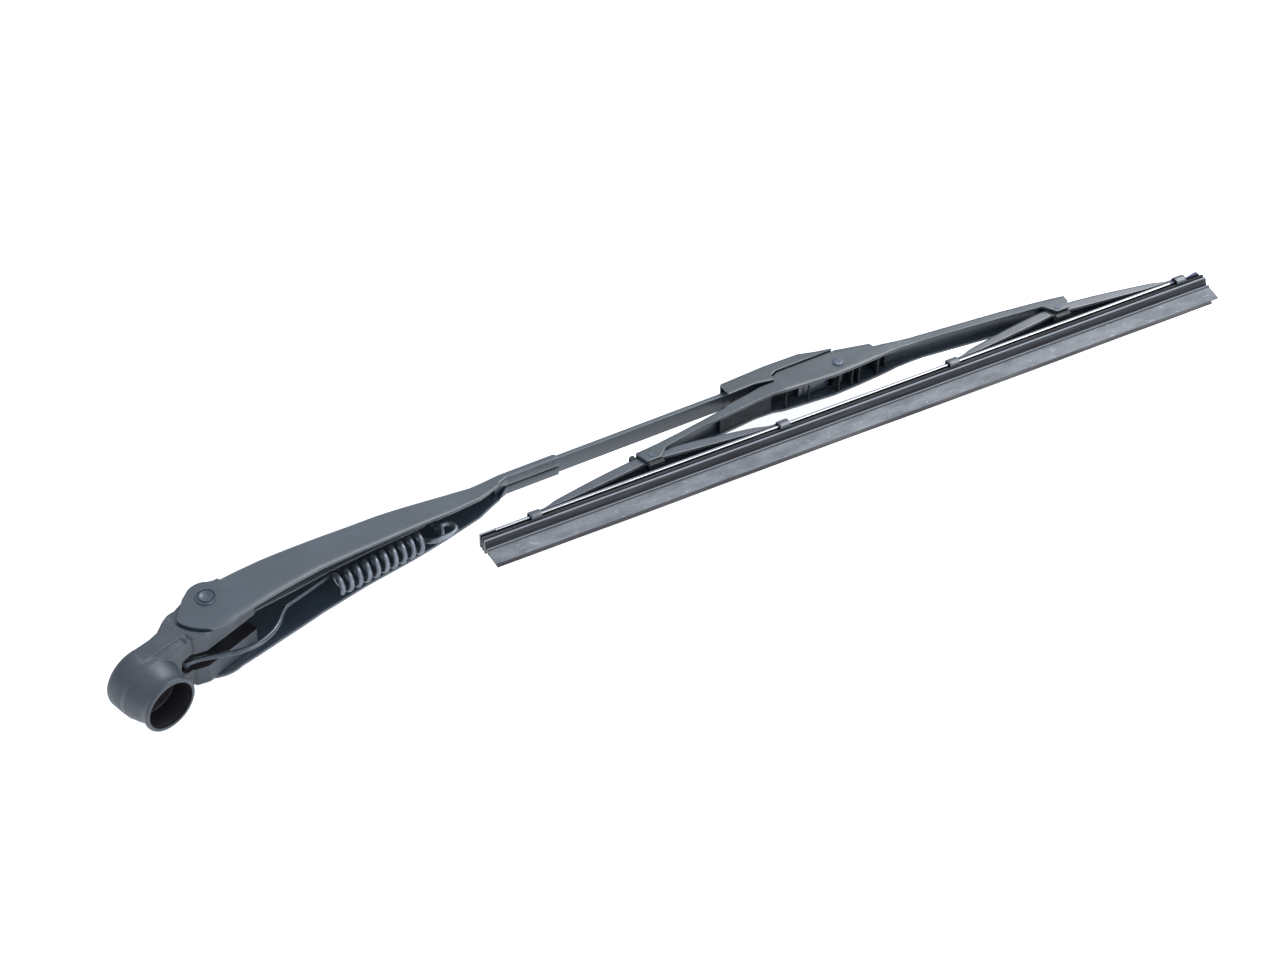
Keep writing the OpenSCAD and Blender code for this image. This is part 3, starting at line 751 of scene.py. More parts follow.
def apply_modifiers(piece: Piece, sharp: float = 40.0) -> None:
    """Turns a piece with modifiers into a plain smooth-shaded mesh.

    Args:
        piece: object with modifiers.
        sharp: edges over this angle in degrees stay sharp.
    """
    bpy.context.view_layer.update()
    graph = bpy.context.evaluated_depsgraph_get()
    made = bpy.data.meshes.new_from_object(piece.evaluated_get(graph))
    old = piece.data
    piece.modifiers.clear()
    if isinstance(old, bpy.types.Mesh):
        piece.data = made
        bpy.data.meshes.remove(old)
    shade(made, sharp)


def bevel(piece: Piece, width_mm: float, segments: int = 2,
          angle: float = 35.0) -> None:
    """Rounds the edges of a piece.

    Args:
        piece: mesh object.
        width_mm: bevel width.
        segments: faces across a rounded edge.
        angle: edges over this angle in degrees are rounded.
    """
    modifier = piece.modifiers.new("Rounded edges", "BEVEL")
    modifier.width = width_mm * MM
    modifier.segments = segments
    modifier.limit_method = "ANGLE"
    modifier.angle_limit = math.radians(angle)
    modifier.use_clamp_overlap = True
    modifier.miter_outer = "MITER_ARC"


def thicken(piece: Piece, thickness_mm: float) -> bpy.types.SolidifyModifier:
    """Gives a sheet its thickness, inwards from its outer face."""
    modifier = piece.modifiers.new("Thickness", "SOLIDIFY")
    modifier.thickness = thickness_mm * MM
    modifier.offset = -1.0
    modifier.use_even_offset = True
    return modifier


def join(name: str, pieces: Sequence[Piece]) -> Piece:
    """Joins plain mesh objects into one.

    Args:
        name: name of the result.
        pieces: mesh objects at the origin.

    Returns:
        One object with all their faces.
    """
    bm = bmesh.new()
    for piece in pieces:
        bm.from_mesh(piece.data)
    mesh = bpy.data.meshes.new(name)
    bm.to_mesh(mesh)
    bm.free()
    for piece in pieces:
        bpy.data.objects.remove(piece)
    shade(mesh, 40)
    return add_object(name, mesh)


def mark(piece: Piece, points: Sequence[Point]) -> None:
    """Keeps each vertex's place on the straight blade for the finish to read.

    Args:
        piece: mesh object, made from the points in their order.
        points: positions along, across and above the blade in mm.
    """
    kept = piece.data.attributes.new("along", "FLOAT_VECTOR", "POINT")
    kept.data.foreach_set("vector", np.array(points, float).ravel())


def finish_piece(piece: Piece, finish: Finishes,
                 body: Optional[Body], replaces: Sequence[str] = ()) -> None:
    """Dresses a piece, attaches it and reports it.

    Args:
        piece: finished mesh object.
        finish: its finish.
        body: body that it rides on, or None to leave it unattached.
        replaces: CAD nodes that it stands for.
    """
    finish.dress(piece)
    if body is not None:
        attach(piece, body.value)
    if replaces:
        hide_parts(*replaces)
    log.info("%s: %d faces", piece.name, len(piece.data.polygons))


@dataclass(frozen=True)
class FoldedSheet:
    """Sheet or moulded wall folded into a channel that is open below.

    Attributes:
        name: object name.
        along: stations along the piece in mm.
        top: height of the roof.
        low: height of the walls' lower edges.
        half: half of the outside width.
        radius: outside radius of the fold.
        thickness: thickness of the wall.
        roofed: tells for a position whether the roof is there.
        flange: share of the underside that folded flanges close, by position.
        place: frame of the lines.
        flange: share of the underside that folded flanges close, by position.
        thin: share of the thickness that is left, by position.
        edge_mm: width of the rounded edges.
    """

    name: str
    along: np.ndarray
    top: Line
    low: Line
    half: Line
    radius: float
    thickness: float
    roofed: Callable[[float], bool]
    place: SlopeFrame
    flange: Optional[Line] = None
    thin: Optional[Line] = None
    edge_mm: float = 0.25

    # a section has 21 points: its first faces are flange, its last ones roof
    flange_faces = 2
    first_roof_face = 17

    def section(self, top: float, low: float, half: float, shut: float,
                roofed: bool) -> list[tuple[float, float]]:
        """One side of a section, from the flange's edge up to the middle of the roof.

        Args:
            top: height of the roof.
            low: height of the wall's lower edge.
            half: half of the width.
            shut: share of the underside that the flange closes.
            roofed: whether the fold turns into a roof.

        Returns:
            Pairs of width and height in mm.
        """
        fold = min(self.radius, max(0.02, (top - low) * 0.45), half * 0.6)
        lower = min(fold * 0.8, 0.9) if shut > 0 else 0.0
        inner = 0.5 + (1 - shut) * (half - lower - 0.5)
        rise = top - fold - low - lower
        made = [(inner + s * (half - lower - inner), low) for s in (0.0, 0.5, 1.0)]
        made += arc(half - lower, low + lower, lower, -90, 90, 4)[1:]
        made += [(half, low + lower + s * rise) for s in np.linspace(0, 1, 7)[1:]]
        made += (arc(half - fold, top - fold, fold, 0, 90, 5)[1:] if roofed else
                 [(half, top - fold + fold * i / 5) for i in range(1, 6)])
        return made + [((half - fold) * (1 - s), top) for s in (0.33, 0.67, 1.0)]

    def build(self) -> Piece:
        """Builds the folded sheet with its thickness and rounded edges."""
        shut = self.flange.at(self.along) if self.flange else 0 * self.along
        roof = [self.roofed(x) for x in self.along]
        rows = [[(x, y, z) for y, z in self.section(*sizes)] for x, *sizes in zip(
            self.along, self.top.at(self.along), self.low.at(self.along),
            self.half.at(self.along), shut, roof)]
        n = len(rows[0])
        points, faces = [], []
        for side in (1, -1):
            base = len(points)
            points += [(x, -side * y, z) for row in rows for x, y, z in row]
            for i in range(len(rows) - 1):
                first = 0 if shut[i] > 0 and shut[i + 1] > 0 else self.flange_faces
                last = n - 1 if roof[i] and roof[i + 1] else self.first_roof_face
                for a in range(base + i * n + first, base + i * n + last):
                    quad = [a, a + n, a + n + 1, a + 1]
                    faces.append(quad[::side])
        made = new_piece(self.name, points, faces, self.place)
        clean(made, outward=False)
        walls = thicken(made, self.thickness)
        if self.thin:
            group = made.vertex_groups.new(name="thin")
            for v in made.data.vertices:
                weight = float(self.thin.at(np.array([v.co.x / MM]))[0])
                group.add([v.index], weight, "REPLACE")
            walls.vertex_group = "thin"
            walls.thickness_vertex_group = 0.0
        bevel(made, self.edge_mm, 2, 50)
        apply_modifiers(made)
        return made


def open_tree(name: str, inputs: dict[str, str]) -> tuple[Tree, bpy.types.Node]:
    """Starts a geometry tree.

    Args:
        name: tree name.
        inputs: kind of each input between Geometry and Material, by name.

    Returns:
        The tree, and the node that gives its inputs.
    """
    tree = bpy.data.node_groups.new(name, "GeometryNodeTree")
    for key, kind in {"Geometry": "Geometry", **inputs,
                      "Material": "Material"}.items():
        tree.interface.new_socket(name=key, in_out="INPUT",
                                  socket_type="NodeSocket" + kind)
    tree.interface.new_socket(name="Geometry", in_out="OUTPUT",
                              socket_type="NodeSocketGeometry")
    return tree, add_node(tree, "NodeGroupInput")


def close_tree(tree: Tree, given: bpy.types.Node, shape: Socket) -> Tree:
    """Ends a geometry tree in a plain mesh with its material.

    Args:
        tree: the geometry tree.
        given: the node that gives its inputs.
        shape: what the tree has made.

    Returns:
        The tree.
    """
    whole = add_node(tree, "GeometryNodeRealizeInstances", None, {0: shape})
    dressed = add_node(tree, "GeometryNodeSetMaterial", None,
                       {"Geometry": whole.outputs[0],
                        "Material": given.outputs["Material"]})
    add_node(tree, "NodeGroupOutput", None, {0: dressed.outputs[0]})
    return tree


def tube_tree() -> Tree:
    """Geometry tree that sweeps a round wire along a polyline.

    Returns:
        The tree, with inputs Radius, Sides and Material.
    """
    found = bpy.data.node_groups.get("Round wire")
    if found:
        return found
    tree, given = open_tree("Round wire", {"Radius": "Float", "Sides": "Int"})
    path = add_node(tree, "GeometryNodeMeshToCurve", None,
                    {"Mesh": given.outputs["Geometry"]})
    ring = add_node(tree, "GeometryNodeCurvePrimitiveCircle", {"mode": "RADIUS"},
                    {"Resolution": given.outputs["Sides"],
                     "Radius": given.outputs["Radius"]})
    swept = add_node(tree, "GeometryNodeCurveToMesh", {"Fill Caps": True},
                     {"Curve": path.outputs[0], "Profile Curve": ring.outputs[0]})
    return close_tree(tree, given, swept.outputs[0])


def stud_tree() -> Tree:
    """Geometry tree that sets a stud on every point, turned by its attribute.

    Returns:
        The tree, with inputs Stud, Scale and Material.
    """
    found = bpy.data.node_groups.get("Studs on points")
    if found:
        return found
    tree, given = open_tree("Studs on points", {"Stud": "Object", "Scale": "Float"})
    spots = add_node(tree, "GeometryNodeMeshToPoints", None,
                     {"Mesh": given.outputs["Geometry"]})
    stud = add_node(tree, "GeometryNodeObjectInfo", None,
                    {"Object": given.outputs["Stud"]})
    turn = add_node(tree, "GeometryNodeInputNamedAttribute",
                    {"data_type": "FLOAT_VECTOR", "Name": "turn"})
    size = add_node(tree, "ShaderNodeCombineXYZ", None,
                    {i: given.outputs["Scale"] for i in range(3)})
    placed = add_node(tree, "GeometryNodeInstanceOnPoints", None,
                      {"Points": spots.outputs[0], "Instance": stud.outputs["Geometry"],
                       "Rotation": turn.outputs[0], "Scale": size.outputs[0]})
    return close_tree(tree, given, placed.outputs[0])


def run_tree(piece: Piece, tree: Tree, inputs: dict,
             sharp: float = 40.0) -> None:
    """Runs a geometry tree on a piece and keeps the result as a plain mesh.

    Args:
        piece: object that the tree starts from.
        tree: geometry tree.
        inputs: values of its named inputs.
        sharp: edges over this angle in degrees stay sharp.
    """
    modifier = piece.modifiers.new("Tree", "NODES")
    modifier.node_group = tree
    for item in tree.interface.items_tree:
        if item.item_type == "SOCKET" and item.in_out == "INPUT" \
                and item.name in inputs:
            modifier[item.identifier] = inputs[item.name]
    apply_modifiers(piece, sharp)


def wire(name: str, path: Sequence[Point], width: float, finish: Finishes) -> Piece:
    """Sweeps a round wire along a path.

    Args:
        name: object name.
        path: points in mm.
        width: diameter of the wire in mm.
        finish: its finish.

    Returns:
        Mesh object.
    """
    made = new_piece(name, path, [], edges=[(i, i + 1) for i in range(len(path) - 1)])
    run_tree(made, tube_tree(), {"Radius": width / 2 * MM, "Sides": 18,
                                 "Material": finish.value.material()})
    return made


def set_studs(name: str, stud: Piece, spots: Sequence[Point],
              turns: Sequence[float], finish: Finishes, sharp: float = 40.0) -> Piece:
    """Sets copies of a stud on points and takes the stud away.

    Args:
        name: object name.
        stud: mesh object that is copied.
        spots: place of each copy in metres.
        turns: rotation of each copy about X, Y and Z, one after the other.
        finish: finish of the copies.
        sharp: edges over this angle in degrees stay sharp.

    Returns:
        Mesh object.
    """
    mesh = bpy.data.meshes.new(name)
    mesh.from_pydata([tuple(p) for p in spots], [], [])
    turn = mesh.attributes.new("turn", "FLOAT_VECTOR", "POINT")
    turn.data.foreach_set("vector", turns)
    made = add_object(name, mesh)
    run_tree(made, stud_tree(), {"Stud": stud, "Scale": 1.0,
                                 "Material": finish.value.material()}, sharp)
    bpy.data.objects.remove(stud)
    return made


def smooth_path(points: Sequence[Point], step: int = 8) -> np.ndarray:
    """Catmull-Rom curve through points.

    Args:
        points: path in mm.
        step: steps between neighbours.

    Returns:
        Denser path.
    """
    p = np.array(points, float)
    p = np.vstack([p[0], p, p[-1]])
    out = []
    for i in range(1, len(p) - 2):
        a, b, c, d = p[i - 1:i + 3]
        for t in np.arange(step) / step:
            out.append(0.5 * (2 * b + (c - a) * t + (2 * a - 5 * b + 4 * c - d) * t ** 2
                              + (3 * b - a - 3 * c + d) * t ** 3))
    out.append(p[-2])
    return np.array(out)


def lathe(name: str, profile: Sequence[tuple[float, float]], centre: Point,
          turn: Point, place: SlopeFrame = ARM, sides: int = 48) -> Piece:
    """Turns a profile about its axis and sets it in place.

    Args:
        name: object name.
        profile: (radius, height) pairs in mm, from axis to axis.
        centre: origin of the profile in mm.
        turn: direction of the axis.
        place: frame of centre and turn.
        sides: facets round the axis.

    Returns:
        Mesh object.
    """
    axis = Vector(turn).normalized()
    side = axis.orthogonal().normalized()
    other = axis.cross(side)
    points = [tuple(Vector(centre) + axis * h + side * (r * math.cos(a))
                    + other * (r * math.sin(a)))
              for r, h in profile
              for a in (2 * math.pi * i / sides for i in range(sides))]
    made = new_piece(name, points, ring_faces(len(profile), sides, ends=False), place)
    clean(made)
    return made


def cast_copy(name: str, node: str, voxel_mm: float, passes: int) -> Piece:
    """Copies a CAD node and softens its edges as casting or moulding does.

    Args:
        name: object name.
        node: CAD node that is copied.
        voxel_mm: size of the remesh.
        passes: smoothing passes.

    Returns:
        Mesh object with soft edges.
    """
    made = add_object(name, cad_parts[node].data.copy())
    made.data.materials.clear()
    clean(made, 0.002, False)
    remesh = made.modifiers.new("Remesh", "REMESH")
    remesh.mode = "VOXEL"
    remesh.voxel_size = voxel_mm * MM
    soft = made.modifiers.new("Soft edges", "SMOOTH")
    soft.factor = 0.5
    soft.iterations = passes
    apply_modifiers(made, 75)
    return made


# ---------------------------------------------------------------- sub-assemblies
@dataclass
class HeadCasting:
    """Die-cast head with its link pin."""

    voxel_mm: float = 0.32
    passes: int = 3
    # turned skin of the hub: bore, chamfered mouth, rounded lip, neck, two steps
    sleeve: tuple = ((11.37, 11.3), (11.37, 1.5), (11.6, 0.9), (12.0, 0.15),
                     (12.25, 0.0), (12.6, 0.03), (12.95, 0.3), (13.12, 0.8),
                     (13.1, 1.6), (12.92, 2.2), (12.62, 2.9), (12.52, 3.8),
                     (12.56, 5.2), (12.95, 6.6), (13.52, 8.0), (13.98, 9.8),
                     (14.33, 11.4), (14.52, 12.1), (14.53, 12.38), (14.6, 12.5),
                     (14.78, 12.62), (14.8, 15.25), (14.78, 15.35), (14.86, 15.45),
                     (15.0, 15.62), (15.02, 22.5), (14.6, 22.9), (13.0, 22.8),
                     (13.0, 11.3), (11.37, 11.3))

    def build(self) -> None:
        """Builds and attaches the head, and dresses the CAD link pin."""
        body = cast_copy("head_body", "head", self.voxel_mm, self.passes)
        sleeve = lathe("hub_sleeve", self.sleeve, (0, 0, 0), (0, 0, 1), sides=128)
        apply_modifiers(sleeve, 30)
        head = join("head_casting", [body, sleeve])
        finish_piece(head, Finishes.HEAD_PAINT, Body.HEAD, ["head"])
        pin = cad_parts["link_pin"]
        Finishes.PIN.dress(pin)


@dataclass
class ArmChannel:
    """Pressed channel with its ears, rivet and spring tab."""

    pivot_x: float = 41.5
    pivot_z: float = 24.7
    length: float = 172.0
    ear_y: float = 16.0
    ear_r: float = 17.8
    hump_r: float = 9.1
    sheet: float = 1.5
    crimp_sheet: float = 0.9
    bar_w: float = 9.0
    bar_t: float = 2.8
    crimp_len: float = 27.0
    crimp_slip: float = 0.1
    nose: float = 17.42
    fold_r: float = 2.2
    # tab: set back a little, with a slot in which the hook can move
    tab_share: float = 0.64
    tab_back: float = 2.0
    tab_drop: float = 28.0
    tab_half: float = 3.0
    tab_foot: float = 4.0
    slot_half: float = 1.6
    slot_up: float = 3.2

    def share(self, f: float) -> float:
        """Position at a share of the channel's length."""
        return self.pivot_x + f * self.length

    def bar_z(self, x: float) -> float:
        """Height of the bar's upper face."""
        return BAR.z - (x - BAR.x) * math.tan(math.radians(BAR.slope))

    def top_line(self) -> Line:
        """Upper edge of the channel's side."""
        px, pz, end = self.pivot_x, self.pivot_z, self.share(1)
        points = [(px - self.nose, pz - 1.9), (px - 16.6, pz - 0.7),
                  (px - 10.3, pz + 4.5), (px - 7.6, pz + 6.4)]
        points += arc(px, pz, self.hump_r, 125, -80, 8)
        for f, z in ((0.05, 5.3), (0.11, 3.9), (0.18, 2.0), (0.353, -4.2),
                     (0.5, -10.2), (0.648, -17.6), (0.76, -23.5), (0.81, -24.9)):
            points.append((self.share(f), pz + z))
        start = end - self.crimp_len
        points += [(start, self.bar_z(start) + self.crimp_sheet),
                   (end, self.bar_z(end) + self.crimp_sheet)]
        return Line(tuple(points))

    def low_line(self) -> Line:
        """Lower edge of the channel's side."""
        px, pz, end = self.pivot_x, self.pivot_z, self.share(1)
        points = []
        for x in (-self.nose, -17.2, -16.8, -16, -15, -13.5, -11.5, -9, -6, -3, 0, 3):
            points.append((px + x, pz - math.sqrt(self.ear_r ** 2 - x * x)))
        for f, z in ((0.14, -18.6), (0.27, -20.2), (0.4, -23.4), (0.54, -27.7),
                     (0.65, -30.8), (0.75, -32.8)):
            points.append((self.share(f), pz + z))
        drop = self.bar_t + self.crimp_sheet
        start = end - self.crimp_len + 2
        points += [(start, self.bar_z(start) - drop), (end, self.bar_z(end) - drop)]
        return Line(tuple(points))

    def build(self) -> None:
        """Builds and attaches the channel, its tab and the rivet."""
        end = self.share(1)
        crimp_y = self.bar_w / 2 + self.crimp_slip + self.crimp_sheet
        start = end - self.crimp_len
        half = Line(((0, self.ear_y), (self.share(0.05), self.ear_y),
                     (self.share(0.2), self.ear_y - 0.9),
                     (self.share(0.43), self.ear_y - 4.3),
                     (self.share(0.55), self.ear_y - 5.8),
                     (self.share(0.7), self.ear_y - 8.8),
                     (start - 4, crimp_y), (end + 1, crimp_y)), True)
        top, low = self.top_line(), self.low_line()
        # the roof starts on the hump, and the flanges close round the bar at the crimp
        roof = self.share(0.066)
        flange = Line(((start - 3, 0.0), (start - 2.9, 0.04), (start + 1.5, 1.0),
                       (end, 1.0)))
        along = stations(self.pivot_x - self.nose, end, 2.0,
                         top.breaks() + low.breaks()
                         + [roof - 0.6, roof, start - 3, start - 2.9, start - 2,
                            start - 1, start + 0.5, start + 1.5])
        thin = Line(((start - 6, 1.0), (start, self.crimp_sheet / self.sheet)))
        channel = FoldedSheet(
            "arm_channel_sheet", along, top, low, half, self.fold_r, self.sheet,
            lambda x: x > roof - 0.01, ARM, flange, thin, 0.3).build()
        whole = join("arm_channel_sheet", [channel, self.tab()])
        finish_piece(whole, Finishes.ARM_PAINT, Body.ARM,
                     ["arm_channel"])
        self.rivet()

    def tab(self) -> Piece:
        """Spring tab with its rounded end and punched hole.

        Returns:
            Mesh object.
        """
        x, z = self.share(self.tab_share) - self.tab_back, self.pivot_z - self.tab_drop
        roof = self.top_line().at(np.array([x]))[0] - self.sheet / 2 - z
        outline, hole = [], []
        count, flat = 32, 1e-6
        for i in range(count):
            a = 2 * math.pi * (i + 0.5) / count
            s, c = math.sin(a), math.cos(a)
            up = roof if c > 0 else self.tab_foot
            hole.append((self.slot_half * s,
                         z + (self.slot_up if c > 0 else self.slot_half) * c))
            reach = min(self.tab_half / max(abs(s), flat), up / max(abs(c), flat))
            outline.append((reach * s, z + reach * c))
        points = [(x, y, h) for y, h in outline + hole] \
            + [(x - self.sheet, y, h) for y, h in outline + hole]
        n, faces = 2 * count, []
        for i in range(count):
            j = (i + 1) % count
            faces += [[i, j, count + j, count + i],
                      [n + j, n + i, n + count + i, n + count + j],
                      [j, i, n + i, n + j],
                      [count + i, count + j, n + count + j, n + count + i]]
        made = new_piece("tab", points, faces)
        clean(made)
        bevel(made, 0.3, 2, 50)
        apply_modifiers(made)
        return made

    def rivet(self) -> None:
        """Rivet with a ringed, dimpled head on each ear."""
        head = [(0.0, 0.3), (0.9, 0.2), (1.7, 0.25), (2.3, 0.6), (2.7, 0.85),
                (3.0, 0.82), (3.2, 0.4), (3.35, 0.05), (3.75, 0.02), (3.95, 0.35),
                (4.2, 0.78), (4.45, 0.78), (4.68, 0.45), (4.7, -0.2), (0.0, -0.2)]
        heads = set_studs(
            "rivet_heads", lathe("rivet_stud", head, (0, 0, 0), (0, 0, 1)),
            [(self.pivot_x * MM, s * self.ear_y * MM, self.pivot_z * MM)
             for s in (-1, 1)], [math.pi / 2, 0, 0, -math.pi / 2, 0, 0],
            Finishes.PIN, 50)
        shank = lathe("rivet_shank", [(0, -self.ear_y), (3.0, -self.ear_y),
                                      (3.0, self.ear_y), (0, self.ear_y)],
                      (self.pivot_x, 0, self.pivot_z), (0, 1, 0))
        whole = join("arm_rivet_heads", [heads, shank])
        finish_piece(whole, Finishes.PIN, Body.ARM, ["arm_rivet"])


@dataclass
class SpringAndLink:
    """Tension spring and the bent wire link that hooks over it."""

    pivot_x: float = 41.5
    link_x: float = 20.9
    link_z: float = 16.0
    tab_x: float = 151.58
    tab_z: float = -6.1
    slope: float = -8.0
    coil_r: float = 3.9
    wire: float = 2.4
    link_wire: float = 2.4
    turns: int = 9
    # the coil starts this far past the pivot and ends this far before the tab
    coil_start: float = 55.7
    coil_end: float = 13.0
    pin_r: float = 1.7
    slip: float = 0.1
    catch_gap: float = 0.2

    def coil_z(self, x: float) -> float:
        """Height of the coil's axis."""
        return self.tab_z + (x - self.tab_x) * math.tan(math.radians(self.slope))

    def build(self) -> None:
        """Builds and attaches the spring and the link."""
        x0, x1 = self.pivot_x + self.coil_start, self.tab_x - self.coil_end
        tilt = math.radians(self.slope)
        # a bit more than half a turn comes first, and stands up where the link catches
        path = []
        for a in range(-200, 360 * self.turns + 1, 10):
            r = math.radians(a)
            s = (x1 - x0) * a / 360 / self.turns
            lift = (1 + math.cos(r)) / 2 if a < 180 else 0.0
            path.append((x0 + s - self.coil_r * math.cos(r) * math.sin(tilt)
                         - lift / 2, self.coil_r * math.sin(r),
                         self.coil_z(x0 + s)
                         + self.coil_r * math.cos(r) * math.cos(tilt) + lift))
        end, tx, tz = self.coil_z(x1) + self.coil_r, self.tab_x, self.tab_z
        hook = smooth_path([
            (x1 + 1, 1.7, end - 0.3), (x1 + 2.2, 2.4, end - 1.7),
            (x1 + 2.8, 1.8, end - 4.2), (x1 + 3.4, 0.8, end - 6.4),
            (x1 + 5.2, 0.1, tz - 2.6), (tx - 4, 0, tz - 3.7), (tx, 0, tz - 4.5),
            (tx + 2.4, 0, tz - 3.7), (tx + 3.6, 0, tz - 1.3), (tx + 2.8, 0, tz + 1.4),
            (tx + 0.4, 0, tz + 2.6), (tx - 4, 0, tz + 2.8)], 6)
        spring = wire("spring_coil", np.vstack([path, hook]), self.wire,
                      Finishes.SPRING)
        finish_piece(spring, Finishes.SPRING, Body.SPRING,
                     ["tension_spring"])
        eye = self.pin_r + self.slip + self.link_wire / 2
        catch_r = (self.wire + self.link_wire) / 2 + self.catch_gap
        cx, cz = x0, self.coil_z(x0) + self.coil_r + 1
        ring = [(x, 0, z) for x, z in arc(self.link_x, self.link_z, eye, -360, 250, 25)]
        bend = smooth_path([
            (23.1, 0, 12.4), (27, 0, 10.6), (33, 0, 7), (40, 0, 3), (48, 0, 0.7),
            (56, 0, 1.2), (62, 0, 3.4), (67.5, 0, 6.9), (72.2, 0, 8.8),
            (79, 0, cz + catch_r - 0.2), (cx - 3, 0, cz + catch_r),
            (cx - 0.5, 0, cz + catch_r)], 6)
        catch = [(x, 0, z) for x, z in arc(cx, cz, catch_r, 80, -189, 19)]
        link = wire("spring_link_wire", np.vstack([ring, bend, catch]), self.link_wire,
                    Finishes.LINK)
        finish_piece(link, Finishes.LINK, Body.SPRING, ["spring_link"])


@dataclass
class BarAndAdapter:
    """Flat bar with its rolled hook, and the moulded adapter inside it."""

    length: float = 133.6
    tail: float = 31.0
    width: float = 9.0
    thickness: float = 2.8
    hook_r: float = 3.3
    leg: float = 13.0
    # radii of the lower and the upper edges, and of the burr at the sawn ends
    corner: float = 0.35
    round: float = 1.1
    burr: float = 0.2
    voxel_mm: float = 0.3
    passes: int = 2

    def build(self) -> None:
        """Builds and attaches the bar and the adapter."""
        mid = self.hook_r + self.thickness / 2
        out = self.hook_r + self.thickness
        path = [(s, -self.thickness / 2)
                for s in np.linspace(-self.tail, self.length, 60)]
        path += [(self.length + mid * math.sin(a), -out + mid * math.cos(a))
                 for a in np.linspace(0, math.pi, 25)[1:]]
        path += [(self.length - s, -out - mid) for s in np.linspace(0, self.leg, 8)[1:]]
        w, t = self.width / 2, self.thickness / 2
        ring = []
        for sy, sz, start, c in ((1, 1, 0, self.round), (-1, 1, 90, self.round),
                                 (-1, -1, 180, self.corner),
                                 (1, -1, 270, self.corner)):
            ring += arc(sy * (w - c), sz * (t - c), c, start, 90, 6)
        p = np.array(path)
        tangent = np.gradient(p, axis=0)
        tangent /= np.linalg.norm(tangent, axis=1)[:, None]
        points = [(s - tz * b, y, z + ts * b)
                  for (s, z), (ts, tz) in zip(p, tangent) for y, b in ring]
        bar = new_piece("flat_bar", points, ring_faces(len(p), len(ring)), BAR)
        clean(bar)
        bevel(bar, self.burr, 2, 60)
        apply_modifiers(bar)
        finish_piece(bar, Finishes.ARM_PAINT, Body.ARM, ["arm_bar"])
        adapter = cast_copy("hook_adapter", "adapter", self.voxel_mm, self.passes)
        finish_piece(adapter, Finishes.CLIP, Body.ARM, ["adapter"])


@dataclass
class HookCover:
    """Snap-on cover over the hook."""

    start: float = -55.55
    end: float = 1.1
    half_w: float = 7.7
    wall: float = 0.85
    fold_r: float = 1.5

    def build(self) -> None:
        """Builds and attaches the cover."""
        top = Line(((self.start, 11.45), (-55.0, 11.55), (-32.2, 13.1), (-14.4, 13.1),
                    (self.end, 8.9)))
        low = Line(((self.start, 3.2), (-41.7, 3.9), (-34.3, 2.7), (-32.4, 2.3),
                    (-31.9, 5.6), (-28.8, 7.2), (self.end, 7.9)))
        half = Line(((self.start, self.half_w), (self.end, self.half_w)))
        along = stations(self.start, self.end, 2.5, top.breaks() + low.breaks())
        shell = FoldedSheet("cover_shell", along, top, low, half, self.fold_r,
                            self.wall, lambda x: True, BLADE).build()
        finish_piece(shell, Finishes.COVER, Body.ARM, ["cover"])


